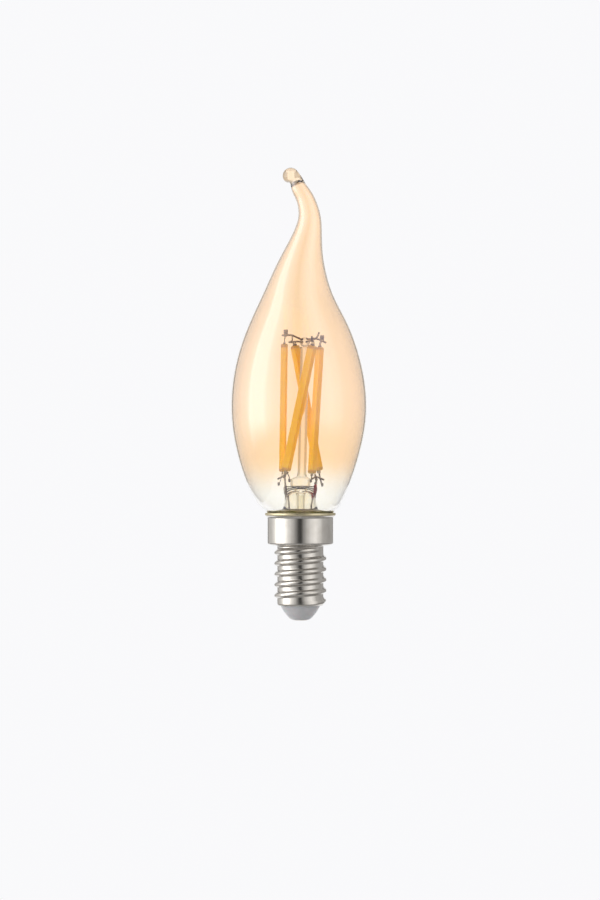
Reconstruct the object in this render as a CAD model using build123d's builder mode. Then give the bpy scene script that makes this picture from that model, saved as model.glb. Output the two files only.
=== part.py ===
from build123d import *

import os
from math import cos, radians, sin

# Flame-tip filament lamp with an E14 screw cap and its driver in the cap.
# Millimetres. The origin is the middle of the centre contact's bottom face, +Z runs up the
# cap's axis to the glass tip, and the tip bends towards -X.

# ---------------------------------------------------------------- driving dimensions

# Cap shell: an E14 thread, a wide skirt and a flared lip, drawn from one sheet.
SHELL_WALL = 0.30
THREAD_MAJOR_R = 6.90
THREAD_MINOR_R = 6.12
THREAD_PITCH = 2.822
THREAD_START_Z = 5.05
THREAD_END_Z = 18.70
RIDGE_FOOT = 1.50
RIDGE_CREST_R = 0.45
SHELL_BOTTOM_Z = 3.90
SHELL_MOUTH_R = 5.22
SKIRT_R = 8.725
SKIRT_BOTTOM_Z = 19.80
SKIRT_TOP_Z = 27.35
SKIRT_CORNER_R = 1.00
LIP_R = 9.35
LIP_TOP_Z = 28.35

# Insulator and centre contact.
INSULATOR_TOP_Z = 7.60
INSULATOR_PLUG_R = 5.74
INSULATOR_BOTTOM_Z = 0.12
CONTACT_R = 2.10
CONTACT_THICK = 0.45
RIVET_R = 0.80

# Glass envelope: stations up the centreline as (centre x, z, lean in degrees, outer radius).
GLASS_WALL = 0.60
NECK_R = 8.20
NECK_BOTTOM_Z = 26.30
ENVELOPE_STATIONS = [
    (0.00, 28.00, 0, 8.20),
    (-0.05, 29.20, 0, 9.55),
    (-0.35, 31.80, 0, 11.60),
    (-0.52, 36.00, 0, 13.60),
    (-0.52, 43.40, 0, 16.05),
    (-0.48, 52.00, 0, 17.65),
    (-0.47, 61.00, 0, 17.68),
    (-0.47, 70.00, 0, 16.10),
    (-0.52, 78.50, 0, 13.05),
    (-0.45, 86.50, 3, 9.20),
    (0.25, 93.50, 8, 6.55),
    (1.25, 98.80, 11, 4.72),
    (2.10, 103.00, 8, 3.66),
    (2.42, 106.60, -2, 3.04),
    (1.90, 109.60, -15, 2.62),
    (0.90, 112.20, -26, 2.40),
    (-0.50, 114.60, -34, 2.22),
    (-1.80, 116.40, -38, 2.00),
]
BORE_END_STATION = 16
TIP_BEAD_R = 2.20
TIP_BEAD_X = -2.50
TIP_BEAD_Z = 117.50

# Glass stem: flare, press, exhaust tube, post and the bead that holds the top wires.
STEM_R = 4.10
STEM_WALL = 0.50
STEM_TOP_Z = 32.90
FLARE_EDGE_R = 7.55
FLARE_EDGE_Z = 27.90
FLARE_BEND_Z = 29.60
PRESS_SHOULDER_Z = 35.60
PRESS_TOP_Z = 38.10
EXHAUST_R = 1.10
EXHAUST_BORE_R = 0.70
EXHAUST_TIP_Z = 22.70
POST_R = 1.15
POST_FOOT = (0.40, 0.00, 38.10)
POST_HEAD = (1.15, 0.00, 72.20)
ANCHOR_BEAD_R = 1.30
ANCHOR_BEAD_TOP_Z = 74.70

# Filaments: the ends of each phosphor sleeve, and its turn about its own length.
SLEEVE_WIDE = 2.20
SLEEVE_THICK = 1.65
SLEEVE_CORNER_R = 0.60
SLEEVE_END_R = 0.30
CARRIER_WIDE = 1.00
CARRIER_THICK = 0.34
CARRIER_PROUD = 0.70
CHIP_LENGTH = 0.85
CHIP_WIDE = 0.50
CHIP_THICK = 0.18
CHIP_COUNT = 24
CHIP_PITCH = 1.30
TAB_THICK = 0.15
TAB_WIDE = 0.50
TAB_BEND = 0.50
PLATE_WIDE = 1.10
PLATE_TALL = 1.50
FILAMENTS = {
    "left": {"bottom": (-4.75, 1.70, 39.40), "top": (-4.20, -1.90, 72.90), "turn": 84},
    "back": {"bottom": (4.85, 1.70, 39.60), "top": (-1.45, 3.70, 72.60), "turn": 38},
    "front": {"bottom": (-3.80, -2.80, 39.60), "top": (3.15, -3.70, 72.40), "turn": -38},
    "right": {"bottom": (3.05, -3.30, 38.90), "top": (5.15, 1.80, 72.10), "turn": -62},
}

# Metal strips that leave each filament: up to a welded plate, and down to a welded strip.
TOP_TABS = {
    "left": {"plate": (-3.85, -1.90, 75.95), "turn": 0},
    "back": {"plate": (-2.15, 3.75, 74.45), "turn": 80},
    "front": {"plate": (3.00, -3.75, 74.15), "turn": 70},
    "right": {"plate": (5.75, 1.85, 74.60), "turn": 0},
}
BOTTOM_TABS = {
    "left": [(-4.78, 1.80, 38.90), (-4.98, 1.90, 37.90), (-5.75, 2.00, 35.60)],
    "back": [(4.98, 1.70, 39.10), (5.15, 1.75, 38.00), (5.80, 1.85, 35.40)],
    "front": [(-3.60, -2.75, 39.10), (-2.95, -2.70, 38.20), (-2.90, -2.60, 36.60)],
    "right": [(3.00, -3.40, 38.40), (2.90, -3.40, 37.60), (2.75, -3.35, 36.50)],
}

# Wires, each as the points that its centreline turns at.
WIRE_R = 0.24
SEAL_WIRE_R = 0.30
SEAL_CLEARANCE = 0.02
WIRE_BEND = 0.60
LINK_LEFT_RUNS = [
    [(0.70, -0.20, 74.05), (-0.60, -0.90, 74.50), (-2.20, -1.60, 75.25), (-4.80, -2.15, 75.15)],
    [(0.75, 0.35, 73.50), (-0.80, 2.20, 73.70), (-3.00, 4.20, 73.60)],
]
LINK_RIGHT_RUNS = [
    [(1.55, 0.25, 74.10), (3.60, 1.40, 74.50), (5.10, 2.10, 74.20), (6.80, 2.30, 73.40)],
    [(1.50, -0.40, 73.50), (3.00, -3.45, 73.80), (4.30, -3.90, 74.40), (4.90, -3.90, 75.80)],
]
LEAD_LEFT_RUNS = [
    [(-3.95, 0.00, 35.77), (-4.05, 0.00, 37.00), (-4.20, -0.05, 38.90)],
    [(-5.95, 2.30, 37.40), (-4.70, 0.45, 38.05), (-3.30, -2.55, 39.10)],
]
LEAD_RIGHT_RUNS = [
    [(4.00, 0.00, 35.77), (4.30, 0.00, 36.80), (3.90, -0.10, 38.60)],
    [(6.20, 2.15, 37.20), (5.00, 1.10, 37.70), (4.10, -0.75, 38.05), (2.85, -3.05, 37.30)],
]
SEAL_LEFT = [(-3.20, 0.00, 32.70), (-3.95, 0.00, 35.75)]
SEAL_RIGHT = [(3.25, 0.00, 32.70), (4.00, 0.00, 35.75)]
OUTER_LEAD_LEFT = [(-3.20, 0.00, 32.65), (-2.90, 0.00, 29.20), (-2.90, 0.00, 24.40)]
OUTER_LEAD_RIGHT = [(3.25, 0.00, 32.65), (2.70, 0.00, 29.20), (2.90, 0.00, 24.40)]

# Driver board: a narrow tongue in the thread and a wide head in the skirt.
BOARD_THICK = 1.00
TONGUE_WIDE = 9.80
TONGUE_BOTTOM_Z = 8.60
HEAD_WIDE = 13.60
HEAD_BOTTOM_Z = 20.40
HEAD_TOP_Z = 24.40
NOTCH_WIDE = 3.80
NOTCH_BOTTOM_Z = 22.00
SLEEVE_TUBE_R = 5.72
SLEEVE_TUBE_WALL = 0.30
SLEEVE_TUBE_TOP_Z = 19.50
CAPACITOR_R = 2.00
CAPACITOR_TALL = 7.00
CAPACITOR_Z = 9.60
INDUCTOR_R = 2.10
INDUCTOR_TALL = 5.00
INDUCTOR_FLANGE = 0.70
INDUCTOR_WINDOW = 1.00
INDUCTOR_Z = 9.60
FUSE_R = 0.90
FUSE_LONG = 4.20
FUSE_Z = 18.20
RADIO_BOARD_THICK = 0.60
RADIO_SHIELD = (3.40, 1.00, 2.20)
RADIO_SHIELD_AT = (-4.45, 21.85)
CHIP_PART = (1.60, 0.60, 0.80)
CHIP_PARTS = [
    (-3.80, 10.20, True), (-3.80, 12.20, True), (3.80, 10.20, True), (3.80, 12.20, True),
    (-3.70, 16.60, False), (3.70, 16.60, False), (3.70, 18.60, False), (3.40, 23.60, False),
]
# Moulded blocks on the board: (wide, thick, tall), (x, z), on the front face, corner chamfer.
BOARD_BLOCKS = {
    "driver_chip": ((3.90, 1.45, 3.00), (0.00, 17.00), False, 0.15),
    "bridge_rectifier": ((3.80, 1.50, 2.60), (4.60, 22.30), True, 0.15),
    "radio_board": ((4.40, 0.60, 3.80), (-4.45, 22.40), False, 0.05),
    "radio_antenna": ((3.20, 1.00, 1.20), (-4.45, 22.60), True, 0.05),
}
HOOKUP_WIRE_R = 0.30
LIVE_WIRE = [(0.00, 0.00, 8.02), (0.00, -1.20, 8.45), (-3.60, -1.20, 9.00)]
NEUTRAL_WIRE = [(5.60, 1.10, 21.20), (6.80, 1.10, 21.20), (7.20, 1.10, 20.45)]
SOLDER_JOINTS = [((-3.90, -1.15, 9.00), 0.55), ((5.30, 1.05, 21.20), 0.50), ((7.25, 1.10, 20.72), 0.55)]
PART_GAP = 0.02


# ---------------------------------------------------------------- helpers


def keep(part, name):
    """Label a finished piece and write its STEP file."""
    part.label = name
    export_step(part, f"parts/{name}.step")


def wire(points, radius, bend=WIRE_BEND):
    """A round wire of straight runs joined by tangent arcs."""
    start = Vector(*points[0])
    with BuildPart() as run:
        with BuildLine() as route:
            if len(points) == 2:
                Line(*points)
            else:
                FilletPolyline(*points, radius=bend)
        with BuildSketch(Plane(origin=start, z_dir=route.line % 0)):
            Circle(radius)
        sweep(path=route.line)
    return run.part


def strip(points, wide, thick, bend=WIRE_BEND):
    """A flat metal strip along the same kind of route, its wide side square to the Y axis."""
    start = Vector(*points[0])
    with BuildPart() as run:
        with BuildLine() as route:
            FilletPolyline(*points, radius=bend)
        with BuildSketch(Plane(origin=start, x_dir=(1, 0, 0), z_dir=route.line % 0)):
            Rectangle(wide, thick)
        sweep(path=route.line)
    return run.part


def leaning_plane(centre_x, height, lean):
    """A section plane that leans by an angle towards +X."""
    tilt = radians(lean)
    return Plane(
        origin=(centre_x, 0, height),
        x_dir=(cos(tilt), 0, -sin(tilt)),
        z_dir=(sin(tilt), 0, cos(tilt)),
    )


def filament_plane(bottom, top, turn):
    """A plane at a filament's middle, square to its length, turned about that length."""
    along = Vector(*top) - Vector(*bottom)
    middle = (Vector(*top) + Vector(*bottom)) * 0.5
    across = Vector(1, 0, 0) - along * (along.X / along.length**2)
    turned = across.rotate(Axis((0, 0, 0), along), turn)
    return Plane(origin=middle, x_dir=turned, z_dir=along)


os.makedirs("parts", exist_ok=True)

# ---------------------------------------------------------------- cap

shell_bore_r = THREAD_MINOR_R - SHELL_WALL
skirt_bore_r = SKIRT_R - SHELL_WALL
rolled_edge_r = 0.60

with BuildPart() as cap_shell:
    with BuildSketch(Plane.XZ):
        with BuildLine():
            Polyline(
                (SHELL_MOUTH_R, SHELL_BOTTOM_Z),
                (THREAD_MINOR_R - rolled_edge_r, SHELL_BOTTOM_Z),
            )
            RadiusArc(
                (THREAD_MINOR_R - rolled_edge_r, SHELL_BOTTOM_Z),
                (THREAD_MINOR_R, SHELL_BOTTOM_Z + rolled_edge_r),
                -rolled_edge_r,
            )
            Polyline(
                (THREAD_MINOR_R, SHELL_BOTTOM_Z + rolled_edge_r),
                (THREAD_MINOR_R, SKIRT_BOTTOM_Z),
                (SKIRT_R - SKIRT_CORNER_R, SKIRT_BOTTOM_Z),
            )
            RadiusArc(
                (SKIRT_R - SKIRT_CORNER_R, SKIRT_BOTTOM_Z),
                (SKIRT_R, SKIRT_BOTTOM_Z + SKIRT_CORNER_R),
                -SKIRT_CORNER_R,
            )
            Polyline(
                (SKIRT_R, SKIRT_BOTTOM_Z + SKIRT_CORNER_R),
                (SKIRT_R, SKIRT_TOP_Z),
                (LIP_R, LIP_TOP_Z - SHELL_WALL),
                (LIP_R, LIP_TOP_Z),
                (LIP_R - SHELL_WALL, LIP_TOP_Z),
                (skirt_bore_r, SKIRT_TOP_Z + SHELL_WALL / 2),
                (skirt_bore_r, SKIRT_BOTTOM_Z + SHELL_WALL),
                (shell_bore_r, SKIRT_BOTTOM_Z + SHELL_WALL),
                (shell_bore_r, SHELL_BOTTOM_Z + SHELL_WALL),
                (SHELL_MOUTH_R, SHELL_BOTTOM_Z + SHELL_WALL),
                (SHELL_MOUTH_R, SHELL_BOTTOM_Z),
            )
        make_face()
    revolve(axis=Axis.Z)
    ridge_inner_r = THREAD_MINOR_R - SHELL_WALL / 2
    thread_height = THREAD_END_Z - THREAD_START_Z
    with BuildLine() as thread_path:
        Helix(THREAD_PITCH, thread_height, ridge_inner_r, center=(0, 0, THREAD_START_Z))
    thread_start = thread_path.line @ 0
    with BuildSketch(Plane(origin=thread_start, x_dir=(1, 0, 0), z_dir=thread_path.line % 0)):
        with BuildLine():
            crest_x = THREAD_MAJOR_R - ridge_inner_r
            Polyline(
                (crest_x - RIDGE_CREST_R, -RIDGE_CREST_R),
                (0, -RIDGE_FOOT / 2),
                (0, RIDGE_FOOT / 2),
                (crest_x - RIDGE_CREST_R, RIDGE_CREST_R),
            )
            ThreePointArc(
                (crest_x - RIDGE_CREST_R, RIDGE_CREST_R),
                (crest_x, 0),
                (crest_x - RIDGE_CREST_R, -RIDGE_CREST_R),
            )
        make_face()
    sweep(path=thread_path.line, is_frenet=True)
keep(cap_shell.part, "cap_shell")

nose_points = [(3.00, 0.42), (3.72, 1.30), (4.86, 2.90), (5.18, 3.86)]
with BuildPart() as insulator:
    with BuildSketch(Plane.XZ):
        with BuildLine():
            Polyline((CONTACT_R + PART_GAP, INSULATOR_BOTTOM_Z), (2.55, INSULATOR_BOTTOM_Z))
            ThreePointArc((2.55, INSULATOR_BOTTOM_Z), (2.80, 0.20), nose_points[0])
            Spline(*nose_points)
            Polyline(
                nose_points[-1],
                (nose_points[-1][0], SHELL_BOTTOM_Z + SHELL_WALL + PART_GAP),
                (INSULATOR_PLUG_R, SHELL_BOTTOM_Z + SHELL_WALL + PART_GAP),
                (INSULATOR_PLUG_R, INSULATOR_TOP_Z),
                (RIVET_R + PART_GAP, INSULATOR_TOP_Z),
                (RIVET_R + PART_GAP, CONTACT_THICK + PART_GAP),
                (CONTACT_R + PART_GAP, CONTACT_THICK + PART_GAP),
                (CONTACT_R + PART_GAP, INSULATOR_BOTTOM_Z),
            )
        make_face()
    revolve(axis=Axis.Z)
keep(insulator.part, "insulator")

with BuildPart() as centre_contact:
    with BuildSketch():
        Circle(CONTACT_R)
    extrude(amount=CONTACT_THICK)
    chamfer(centre_contact.faces().sort_by(Axis.Z)[0].edges(), 0.1)
    with BuildSketch(Plane.XY.offset(CONTACT_THICK)):
        Circle(RIVET_R)
    extrude(amount=INSULATOR_TOP_Z + 0.4 - CONTACT_THICK)
keep(centre_contact.part, "centre_contact")

# The cement bonds the neck to the skirt and reaches up under the glass flare.
cement_edge_r = 4.80
with BuildPart() as cement_ring:
    with BuildSketch(Plane.XZ):
        with BuildLine():
            Polyline(
                (cement_edge_r, 25.60),
                (skirt_bore_r - PART_GAP, 25.20),
                (skirt_bore_r - PART_GAP, SKIRT_TOP_Z + 0.10),
                (LIP_R - 0.55, LIP_TOP_Z - 0.15),
                (NECK_R + 0.55, LIP_TOP_Z - 0.12),
                (NECK_R + PART_GAP, 27.60),
                (NECK_R + PART_GAP, NECK_BOTTOM_Z - PART_GAP),
                (7.40, NECK_BOTTOM_Z - PART_GAP),
                (7.40, 27.35),
                (cement_edge_r, 28.55),
                (cement_edge_r, 25.60),
            )
        make_face()
    revolve(axis=Axis.Z)
keep(cement_ring.part, "cement_ring")

# ---------------------------------------------------------------- glass envelope

with BuildPart() as glass_envelope:
    for centre_x, height, lean, radius in ENVELOPE_STATIONS:
        with BuildSketch(leaning_plane(centre_x, height, lean)):
            Circle(radius)
    loft()
    with BuildSketch(Plane.XY.offset(NECK_BOTTOM_Z)):
        Circle(NECK_R)
    with BuildSketch(Plane.XY.offset(ENVELOPE_STATIONS[0][1])):
        Circle(ENVELOPE_STATIONS[0][3])
    loft()
    with Locations((TIP_BEAD_X, 0, TIP_BEAD_Z)):
        Sphere(TIP_BEAD_R)
    for centre_x, height, lean, radius in ENVELOPE_STATIONS[: BORE_END_STATION + 1]:
        with BuildSketch(leaning_plane(centre_x, height, lean)):
            Circle(radius - GLASS_WALL)
    loft(mode=Mode.SUBTRACT)
    with BuildSketch(Plane.XY.offset(NECK_BOTTOM_Z)):
        Circle(NECK_R - GLASS_WALL)
    with BuildSketch(Plane.XY.offset(ENVELOPE_STATIONS[0][1])):
        Circle(ENVELOPE_STATIONS[0][3] - GLASS_WALL)
    loft(mode=Mode.SUBTRACT)
keep(glass_envelope.part, "glass_envelope")

# ---------------------------------------------------------------- glass stem

with BuildPart() as stem_flare:
    with BuildSketch(Plane.XZ):
        with BuildLine():
            tube = Line((STEM_R, STEM_TOP_Z), (STEM_R, FLARE_BEND_Z + 1.0))
            bend = Spline(
                tube @ 1, (STEM_R + 1.1, FLARE_BEND_Z - 0.15), (FLARE_EDGE_R, FLARE_EDGE_Z + STEM_WALL),
                tangents=[(0, -1), (1, -0.35)],
            )
            rim = Line(bend @ 1, (FLARE_EDGE_R, FLARE_EDGE_Z))
            under = Spline(
                rim @ 1, (STEM_R + 0.6, FLARE_BEND_Z - 0.60), (STEM_R - STEM_WALL, FLARE_BEND_Z + 0.9),
                tangents=[(-1, 0.35), (0, 1)],
            )
            Polyline(under @ 1, (STEM_R - STEM_WALL, STEM_TOP_Z), (STEM_R, STEM_TOP_Z))
        make_face()
    revolve(axis=Axis.Z)
keep(stem_flare.part, "stem_flare")

seal_left = wire(SEAL_LEFT, SEAL_WIRE_R)
seal_right = wire(SEAL_RIGHT, SEAL_WIRE_R)
seal_left_hole = wire(SEAL_LEFT, SEAL_WIRE_R + SEAL_CLEARANCE)
seal_right_hole = wire(SEAL_RIGHT, SEAL_WIRE_R + SEAL_CLEARANCE)

press_sections = [
    (STEM_TOP_Z, STEM_R, STEM_R),
    (STEM_TOP_Z + 1.1, 4.40, 3.00),
    (PRESS_SHOULDER_Z - 0.3, 4.45, 1.95),
    (PRESS_SHOULDER_Z, 4.25, 1.75),
]
with BuildPart() as stem_press:
    for height, half_wide, half_deep in press_sections:
        with BuildSketch(Plane.XY.offset(height)):
            Ellipse(half_wide, half_deep)
    loft()
    with BuildSketch(Plane.XY.offset(PRESS_SHOULDER_Z - 0.2)):
        RectangleRounded(5.30, 3.00, 1.20)
    extrude(amount=PRESS_TOP_Z - PRESS_SHOULDER_Z + 0.2)
    fillet(stem_press.faces().sort_by(Axis.Z)[-1].edges(), 0.35)
    add(seal_left_hole, mode=Mode.SUBTRACT)
    add(seal_right_hole, mode=Mode.SUBTRACT)
keep(stem_press.part, "stem_press")
keep(seal_left, "seal_wire_left")
keep(seal_right, "seal_wire_right")

with BuildPart() as exhaust_tube:
    with BuildSketch(Plane.XZ):
        with BuildLine():
            Polyline(
                (0, EXHAUST_TIP_Z),
                (0, EXHAUST_TIP_Z + 0.9),
                (EXHAUST_BORE_R, EXHAUST_TIP_Z + 1.9),
                (EXHAUST_BORE_R, STEM_TOP_Z - PART_GAP),
                (EXHAUST_R, STEM_TOP_Z - PART_GAP),
                (EXHAUST_R, EXHAUST_TIP_Z + 1.1),
            )
            RadiusArc((EXHAUST_R, EXHAUST_TIP_Z + 1.1), (0, EXHAUST_TIP_Z), EXHAUST_R)
        make_face()
    revolve(axis=Axis.Z)
keep(exhaust_tube.part, "exhaust_tube")

post_run = Vector(*POST_HEAD) - Vector(*POST_FOOT)
with BuildPart() as support_post:
    with BuildSketch(Plane(origin=POST_FOOT, z_dir=post_run)):
        Circle(POST_R)
    extrude(amount=post_run.length)
    split(bisect_by=Plane.XY.offset(PRESS_TOP_Z + PART_GAP), keep=Keep.TOP)
    split(bisect_by=Plane.XY.offset(POST_HEAD[2]), keep=Keep.BOTTOM)
keep(support_post.part, "support_post")

link_left = [wire(run, WIRE_R) for run in LINK_LEFT_RUNS]
link_right = [wire(run, WIRE_R) for run in LINK_RIGHT_RUNS]
with BuildPart() as anchor_bead:
    with BuildSketch(Plane.XY.offset(POST_HEAD[2] + PART_GAP)):
        with Locations((POST_HEAD[0], POST_HEAD[1])):
            Circle(ANCHOR_BEAD_R)
    extrude(amount=ANCHOR_BEAD_TOP_Z - POST_HEAD[2] - PART_GAP)
    fillet(anchor_bead.edges().filter_by(GeomType.CIRCLE), 0.5)
    for run in link_left + link_right:
        add(run, mode=Mode.SUBTRACT)
keep(anchor_bead.part, "anchor_bead")
keep(Compound(children=link_left), "link_wires_left")
keep(Compound(children=link_right), "link_wires_right")

lead_left = [wire(run, WIRE_R) for run in LEAD_LEFT_RUNS]
lead_right = [wire(run, WIRE_R) for run in LEAD_RIGHT_RUNS]
keep(Compound(children=lead_left), "lead_wires_left")
keep(Compound(children=lead_right), "lead_wires_right")
keep(wire(OUTER_LEAD_LEFT, WIRE_R, 4.0), "outer_lead_left")
keep(wire(OUTER_LEAD_RIGHT, WIRE_R, 4.0), "outer_lead_right")

# ---------------------------------------------------------------- filaments

for place, ends in FILAMENTS.items():
    bottom, top = Vector(*ends["bottom"]), Vector(*ends["top"])
    across = filament_plane(ends["bottom"], ends["top"], ends["turn"])
    length = (top - bottom).length
    carrier_length = length + 2 * CARRIER_PROUD
    chip_lift = (CARRIER_THICK + CHIP_THICK) / 2

    with BuildPart() as sleeve:
        with BuildSketch(across):
            RectangleRounded(SLEEVE_WIDE, SLEEVE_THICK, SLEEVE_CORNER_R)
        extrude(amount=length / 2, both=True)
        end_faces = sleeve.faces().sort_by(Axis(across.origin, across.z_dir))
        fillet(end_faces[0].edges() + end_faces[-1].edges(), SLEEVE_END_R)
        with BuildSketch(across):
            Rectangle(CARRIER_WIDE + PART_GAP, CARRIER_THICK + PART_GAP)
            with Locations((0, chip_lift)):
                Rectangle(CHIP_WIDE + PART_GAP, CHIP_THICK + PART_GAP)
        extrude(amount=length / 2, both=True, mode=Mode.SUBTRACT)
    keep(sleeve.part, f"{place}_phosphor")

    with BuildPart() as carrier:
        with BuildSketch(across):
            Rectangle(CARRIER_WIDE, CARRIER_THICK)
        extrude(amount=carrier_length / 2, both=True)
    keep(carrier.part, f"{place}_carrier")

    with BuildPart(across) as chips:
        for count in range(CHIP_COUNT):
            along = (count - (CHIP_COUNT - 1) / 2) * CHIP_PITCH
            with Locations((0, chip_lift, along)):
                Box(CHIP_WIDE, CHIP_THICK, CHIP_LENGTH)
    keep(chips.part, f"{place}_chips")

    plate = TOP_TABS[place]
    plate_turn = radians(plate["turn"])
    plate_plane = Plane(
        origin=plate["plate"],
        x_dir=(cos(plate_turn), sin(plate_turn), 0),
        z_dir=(sin(plate_turn), -cos(plate_turn), 0),
    )
    neck_foot = top + across.z_dir * (CARRIER_PROUD + PART_GAP)
    with BuildPart() as top_tab:
        with BuildSketch(plate_plane):
            Rectangle(PLATE_WIDE, PLATE_TALL)
        extrude(amount=TAB_THICK / 2, both=True)
    plate_foot = Vector(*plate["plate"]) - Vector(0, 0, PLATE_TALL / 2 - TAB_THICK)
    with BuildPart() as neck:
        with BuildLine() as neck_path:
            Line(neck_foot, plate_foot)
        with BuildSketch(Plane(origin=neck_foot, x_dir=plate_plane.x_dir, z_dir=neck_path.line % 0)):
            Rectangle(TAB_WIDE, TAB_THICK)
        sweep(path=neck_path.line)
    with BuildPart() as tabs:
        add(top_tab.part)
        add(neck.part)
        add(strip(BOTTOM_TABS[place], TAB_WIDE, TAB_THICK, TAB_BEND))
    keep(tabs.part, f"{place}_tabs")

# ---------------------------------------------------------------- driver

tongue_tall = HEAD_BOTTOM_Z - TONGUE_BOTTOM_Z
board_face = BOARD_THICK / 2

with BuildPart() as driver_board:
    with BuildSketch(Plane.XZ):
        with Locations((0, TONGUE_BOTTOM_Z + tongue_tall / 2)):
            Rectangle(TONGUE_WIDE, tongue_tall)
        with Locations((0, (HEAD_BOTTOM_Z + HEAD_TOP_Z) / 2)):
            Rectangle(HEAD_WIDE, HEAD_TOP_Z - HEAD_BOTTOM_Z)
        with Locations((0, (NOTCH_BOTTOM_Z + HEAD_TOP_Z) / 2)):
            Rectangle(NOTCH_WIDE, HEAD_TOP_Z - NOTCH_BOTTOM_Z, mode=Mode.SUBTRACT)
    extrude(amount=board_face, both=True)
keep(driver_board.part, "driver_board")

with BuildPart() as insulating_sleeve:
    with BuildSketch(Plane.XY.offset(INSULATOR_TOP_Z + PART_GAP)):
        Circle(SLEEVE_TUBE_R)
        Circle(SLEEVE_TUBE_R - SLEEVE_TUBE_WALL, mode=Mode.SUBTRACT)
    extrude(amount=SLEEVE_TUBE_TOP_Z - INSULATOR_TOP_Z)
keep(insulating_sleeve.part, "insulating_sleeve")

capacitor_y = -(board_face + CAPACITOR_R + PART_GAP)
with BuildPart() as bulk_capacitor:
    with BuildSketch(Plane.XY.offset(CAPACITOR_Z)):
        with Locations((0, capacitor_y)):
            Circle(CAPACITOR_R)
    extrude(amount=CAPACITOR_TALL)
    fillet(bulk_capacitor.edges().filter_by(GeomType.CIRCLE), 0.3)
keep(bulk_capacitor.part, "bulk_capacitor")

inductor_y = board_face + INDUCTOR_R + PART_GAP
with BuildPart() as inductor_core:
    with BuildSketch(Plane.XY.offset(INDUCTOR_Z)):
        with Locations((0, inductor_y)):
            Circle(INDUCTOR_R)
    extrude(amount=INDUCTOR_TALL)
    with BuildSketch(Plane.XY.offset(INDUCTOR_Z + INDUCTOR_FLANGE)):
        with Locations((0, inductor_y)):
            Circle(INDUCTOR_R)
            Circle(INDUCTOR_R - INDUCTOR_WINDOW, mode=Mode.SUBTRACT)
    extrude(amount=INDUCTOR_TALL - 2 * INDUCTOR_FLANGE, mode=Mode.SUBTRACT)
keep(inductor_core.part, "inductor_core")

with BuildPart() as inductor_winding:
    with BuildSketch(Plane.XY.offset(INDUCTOR_Z + INDUCTOR_FLANGE + PART_GAP)):
        with Locations((0, inductor_y)):
            Circle(INDUCTOR_R - 0.15)
            Circle(INDUCTOR_R - INDUCTOR_WINDOW + PART_GAP, mode=Mode.SUBTRACT)
    extrude(amount=INDUCTOR_TALL - 2 * (INDUCTOR_FLANGE + PART_GAP))
keep(inductor_winding.part, "inductor_winding")


def board_block(size, middle, front, corner):
    """A moulded block soldered to the board's front (-Y) or back (+Y) face."""
    wide, thick, tall = size
    centre_x, centre_z = middle
    lift = board_face + PART_GAP + thick / 2
    with BuildPart() as block:
        with Locations((centre_x, -lift if front else lift, centre_z)):
            Box(wide, thick, tall)
        chamfer(block.edges().filter_by(Axis.Z), corner)
    return block.part


for name, (size, middle, front, corner) in BOARD_BLOCKS.items():
    keep(board_block(size, middle, front, corner), name)

with BuildPart() as radio_shield:
    shield_y = board_face + 2 * PART_GAP + RADIO_BOARD_THICK + RADIO_SHIELD[1] / 2
    with Locations((RADIO_SHIELD_AT[0], shield_y, RADIO_SHIELD_AT[1])):
        Box(*RADIO_SHIELD)
    fillet(radio_shield.edges().filter_by(Axis.Y), 0.3)
keep(radio_shield.part, "radio_shield")

with BuildPart() as chip_parts:
    for centre_x, centre_z, front in CHIP_PARTS:
        lift = board_face + PART_GAP + CHIP_PART[1] / 2
        with Locations((centre_x, -lift if front else lift, centre_z)):
            Box(*CHIP_PART)
keep(chip_parts.part, "chip_parts")

with BuildPart() as fuse_resistor:
    with BuildSketch(Plane.YZ.offset(-FUSE_LONG / 2)):
        with Locations((-(board_face + FUSE_R + PART_GAP), FUSE_Z)):
            Circle(FUSE_R)
    extrude(amount=FUSE_LONG)
    fillet(fuse_resistor.edges().filter_by(GeomType.CIRCLE), 0.25)
keep(fuse_resistor.part, "fuse_resistor")

keep(wire(LIVE_WIRE, HOOKUP_WIRE_R), "live_wire")
keep(wire(NEUTRAL_WIRE, HOOKUP_WIRE_R), "neutral_wire")

with BuildPart() as solder_joints:
    for place, radius in SOLDER_JOINTS:
        with Locations(place):
            Sphere(radius)
keep(solder_joints.part, "solder_joints")
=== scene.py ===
"""Looks for an amber flame-tip filament lamp: blown glass, glass stem, filaments and screw cap."""

import logging
import math
from dataclasses import dataclass, replace
from enum import Enum

import bmesh
import bpy
from mathutils import Matrix, Vector, noise


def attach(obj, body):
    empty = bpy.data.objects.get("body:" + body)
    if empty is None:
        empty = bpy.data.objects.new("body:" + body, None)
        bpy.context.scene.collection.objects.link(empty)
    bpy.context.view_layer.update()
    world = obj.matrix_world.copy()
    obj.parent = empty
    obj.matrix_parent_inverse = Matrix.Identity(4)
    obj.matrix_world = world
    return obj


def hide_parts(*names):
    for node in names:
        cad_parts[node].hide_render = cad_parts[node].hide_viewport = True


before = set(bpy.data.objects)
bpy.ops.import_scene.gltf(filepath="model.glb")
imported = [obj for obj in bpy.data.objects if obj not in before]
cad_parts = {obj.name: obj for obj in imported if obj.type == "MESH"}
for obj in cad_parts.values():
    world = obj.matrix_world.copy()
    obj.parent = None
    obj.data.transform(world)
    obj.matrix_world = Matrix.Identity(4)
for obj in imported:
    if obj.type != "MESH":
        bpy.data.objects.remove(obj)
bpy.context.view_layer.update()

MM = 0.001
LOG = logging.getLogger("lamp")
Colour = tuple[float, float, float]
Point = tuple[float, float, float]
Ring = list[Vector]
ALL_SMOOTH = 180.0
BLACK: Colour = (0.0, 0.0, 0.0)


# ------------------------------------------------------------------ shapes


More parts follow.
